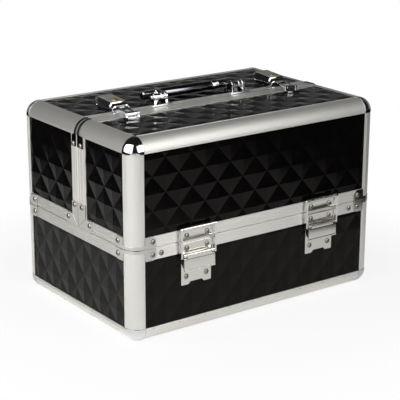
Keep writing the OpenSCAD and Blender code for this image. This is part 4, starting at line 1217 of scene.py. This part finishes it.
# Injection moulded ABS with a black chrome plate: black, with clear bright reflections of the lamps.
grip_plate = surface("black_chromed_abs", "#97979b", (0.07, 0.13), haze=(14.29, 2, NOISE), band=(0, 1),
                     press=(0.05, 0.5), Metallic=1.0)
hands = (Matrix.Identity(4), lay(-X, Y, Z))
finish_piece("handle_cast_feet", [handle_foot(hand) for hand in hands], chrome, "rear_lid",
             ["handle_brackets"], bevel=0.4, sharp=40)
finish_piece("handle_links", [bail_side(hand) for hand in hands], chrome, "handle", ["handle_bail"],
             bevel=0.25, sharp=40)
swell = [(grip_half * math.sin(math.radians(a)), grip_r - 0.5 + 0.5 * math.cos(math.radians(a)) ** 2)
         for a in range(-80, 81, 8)]
shoulder = [(grip_half - 0.3, grip_r - 0.7), (grip_half, grip_r - 1.4)]
grip = turned([(-along, radius) for along, radius in shoulder[::-1]] + swell + shoulder,
              Matrix.Translation((0, *grip_axis)) @ ALONG_X, ring=40)
finish_piece("handle_moulded_grip", [grip], grip_plate, "handle", ["handle_grip"], sharp=50)


# ------------------------------------------------------------------------------------------------
# Stage. A wide strip of matt white paper over a dark studio floor, two softboxes and a dim room with
# a white backdrop behind the case, which the camera and the metal see.

floor_half = 3.0                        # metres, as all sizes of the stage
floor_sink = 0.0005                     # the floor lies this far under the case
paper_half = 0.52                       # half the width of the white paper
paper_edge = 0.08
paper_shift = 0.04                      # its middle lies this far to the left of the case
camera_at = Vector((-0.9428, -1.2972, 0.6157))
camera_turn = (36.03, 17.50, 0.168)     # yaw to the right, pitch down and roll, in degrees
ACROSS, AWAY = (0.809, -0.588, 0), (0.588, 0.809, 0)    # to the camera's right, and away from it
focal_px = 1346.56
image_px = 400
room_light = 0.012


def matt_floor():
    """Matt white paper, laid in a wide strip from the backdrop to the camera over a dark studio floor."""
    material = bpy.data.materials.new("matt_white_paper")
    material.use_nodes = True
    tree = material.node_tree
    tree.nodes.clear()
    place = add_node(tree, "ShaderNodeTexCoord").outputs["Object"]
    across = add_node(tree, "ShaderNodeVectorMath", {0: place, 1: ACROSS}, operation="DOT_PRODUCT")
    moved = add_node(tree, "ShaderNodeMath", {0: across.outputs["Value"], 1: paper_shift}, operation="ADD")
    off = add_node(tree, "ShaderNodeMath", {0: moved.outputs[0]}, operation="ABSOLUTE")
    mottle = add_node(tree, NOISE, {"Vector": place, "Scale": 3, "Detail": 3})
    paper = add_node(tree, "ShaderNodeMix", {0: mottle.outputs[0], 6: linear("#f2f2f2"),
                                             7: linear("#f8f8f8")}, data_type="RGBA")
    edge = add_node(tree, "ShaderNodeMapRange", {"Value": off.outputs[0], "From Min": paper_half,
                                                 "From Max": paper_half + paper_edge})
    tone = add_node(tree, "ShaderNodeMix", {0: edge.outputs[0], 6: paper.outputs[2], 7: linear("#1c1c1c")},
                    data_type="RGBA")
    paint = add_node(tree, "ShaderNodeBsdfDiffuse", {"Color": tone.outputs[2]})
    # To the camera the floor runs on as white, and keeps a part of the case's shadow near the case.
    seen = add_node(tree, "ShaderNodeLightPath")
    reach = add_node(tree, "ShaderNodeVectorMath", {0: place}, operation="LENGTH")
    clean = add_node(tree, "ShaderNodeMapRange", {"Value": reach.outputs["Value"], "From Min": 0.25,
                                                  "From Max": 0.42, "To Min": 0.86, "To Max": 1.0})
    share = add_node(tree, "ShaderNodeMath", {0: seen.outputs["Is Camera Ray"], 1: clean.outputs[0]},
                     operation="MULTIPLY")
    white = add_node(tree, "ShaderNodeEmission", {"Color": (1, 1, 1, 1), "Strength": 1.0})
    mixed = add_node(tree, "ShaderNodeMixShader", {0: share.outputs[0], 1: paint.outputs[0],
                                                   2: white.outputs[0]})
    add_node(tree, "ShaderNodeOutputMaterial", {"Surface": mixed.outputs[0]})
    return material


floor_data = bpy.data.meshes.new("floor")
floor_data.from_pydata([(x * floor_half, y * floor_half, -floor_sink) for x, y in
                        ((-1, -1), (1, -1), (1, 1), (-1, 1))], [], [(0, 1, 2, 3)])
floor_data.materials.append(matt_floor())
floor = new_object("floor", floor_data)

world = bpy.data.worlds.new("studio")
bpy.context.scene.world = world
world.use_nodes = True
sky = world.node_tree
sky.nodes.clear()
direction = add_node(sky, "ShaderNodeTexCoord").outputs["Generated"]
height = add_node(sky, "ShaderNodeSeparateXYZ", {0: direction}).outputs[2]
away = add_node(sky, "ShaderNodeVectorMath", {0: direction, 1: AWAY}, operation="DOT_PRODUCT")
behind = add_node(sky, "ShaderNodeMapRange", {"Value": away.outputs["Value"], "From Min": 0.30,
                                              "From Max": 0.70})
sweep = add_node(sky, "ShaderNodeMapRange", {"Value": height, "From Min": 0.02, "From Max": 0.17,
                                             "To Min": 0.12, "To Max": 0.0})
wall = add_node(sky, "ShaderNodeMapRange", {"Value": height, "From Min": 0.12, "From Max": 0.75,
                                            "To Min": 0.21, "To Max": 0.0})
tall = add_node(sky, "ShaderNodeMath", {0: sweep.outputs[0], 1: wall.outputs[0]}, operation="ADD")
backdrop = add_node(sky, "ShaderNodeMath", {0: behind.outputs[0], 1: tall.outputs[0]}, operation="MULTIPLY")
# The room is dim. The white backdrop behind the case is what the camera sees, and what metal reflects.
seen = add_node(sky, "ShaderNodeLightPath").outputs
mirrored = add_node(sky, "ShaderNodeMath", {0: seen["Is Glossy Ray"], 1: seen["Is Transmission Ray"]},
                    operation="ADD")
shown = add_node(sky, "ShaderNodeMath", {0: mirrored.outputs[0], 1: backdrop.outputs[0],
                                         2: seen["Is Camera Ray"]}, operation="MULTIPLY_ADD",
                 use_clamp=True)
room = add_node(sky, "ShaderNodeBackground", {"Color": (1, 1, 1, 1), "Strength": room_light})
white = add_node(sky, "ShaderNodeBackground", {"Color": (1, 1, 1, 1), "Strength": 1.0})
studio = add_node(sky, "ShaderNodeMixShader", {0: shown.outputs[0], 1: room.outputs[0],
                                               2: white.outputs[0]})
add_node(sky, "ShaderNodeOutputWorld", {"Surface": studio.outputs[0]})


def soft_light(name, place, target, size, watts):
    data = bpy.data.lights.new(name, "AREA")
    data.shape = "RECTANGLE"
    data.size, data.size_y = size
    data.energy = watts
    lamp = new_object(name, data)
    lamp.location = place
    lamp.rotation_euler = (Vector(target) - Vector(place)).to_track_quat("-Z", "Y").to_euler()


soft_light("right_softbox", place=(0.26, -1.52, 0.87), target=(0, 0, 0.15), size=(1.60, 1.35), watts=20)
soft_light("left_softbox", place=(-1.27, 0.18, 0.74), target=(0, 0.70, 0.48), size=(1.80, 1.25), watts=27)

lens = bpy.data.cameras.new("camera")
lens.sensor_width = 36.0
lens.lens = focal_px / image_px * lens.sensor_width
camera = new_object("camera", lens)
yaw, pitch, roll = (math.radians(a) for a in camera_turn)
camera.matrix_world = (Matrix.Translation(camera_at) @ Matrix.Rotation(-yaw, 4, "Z")
                       @ Matrix.Rotation(math.pi / 2 - pitch, 4, "X") @ Matrix.Rotation(roll, 4, "Z"))
bpy.context.scene.camera = camera
bpy.context.scene.view_settings.view_transform = "Standard"
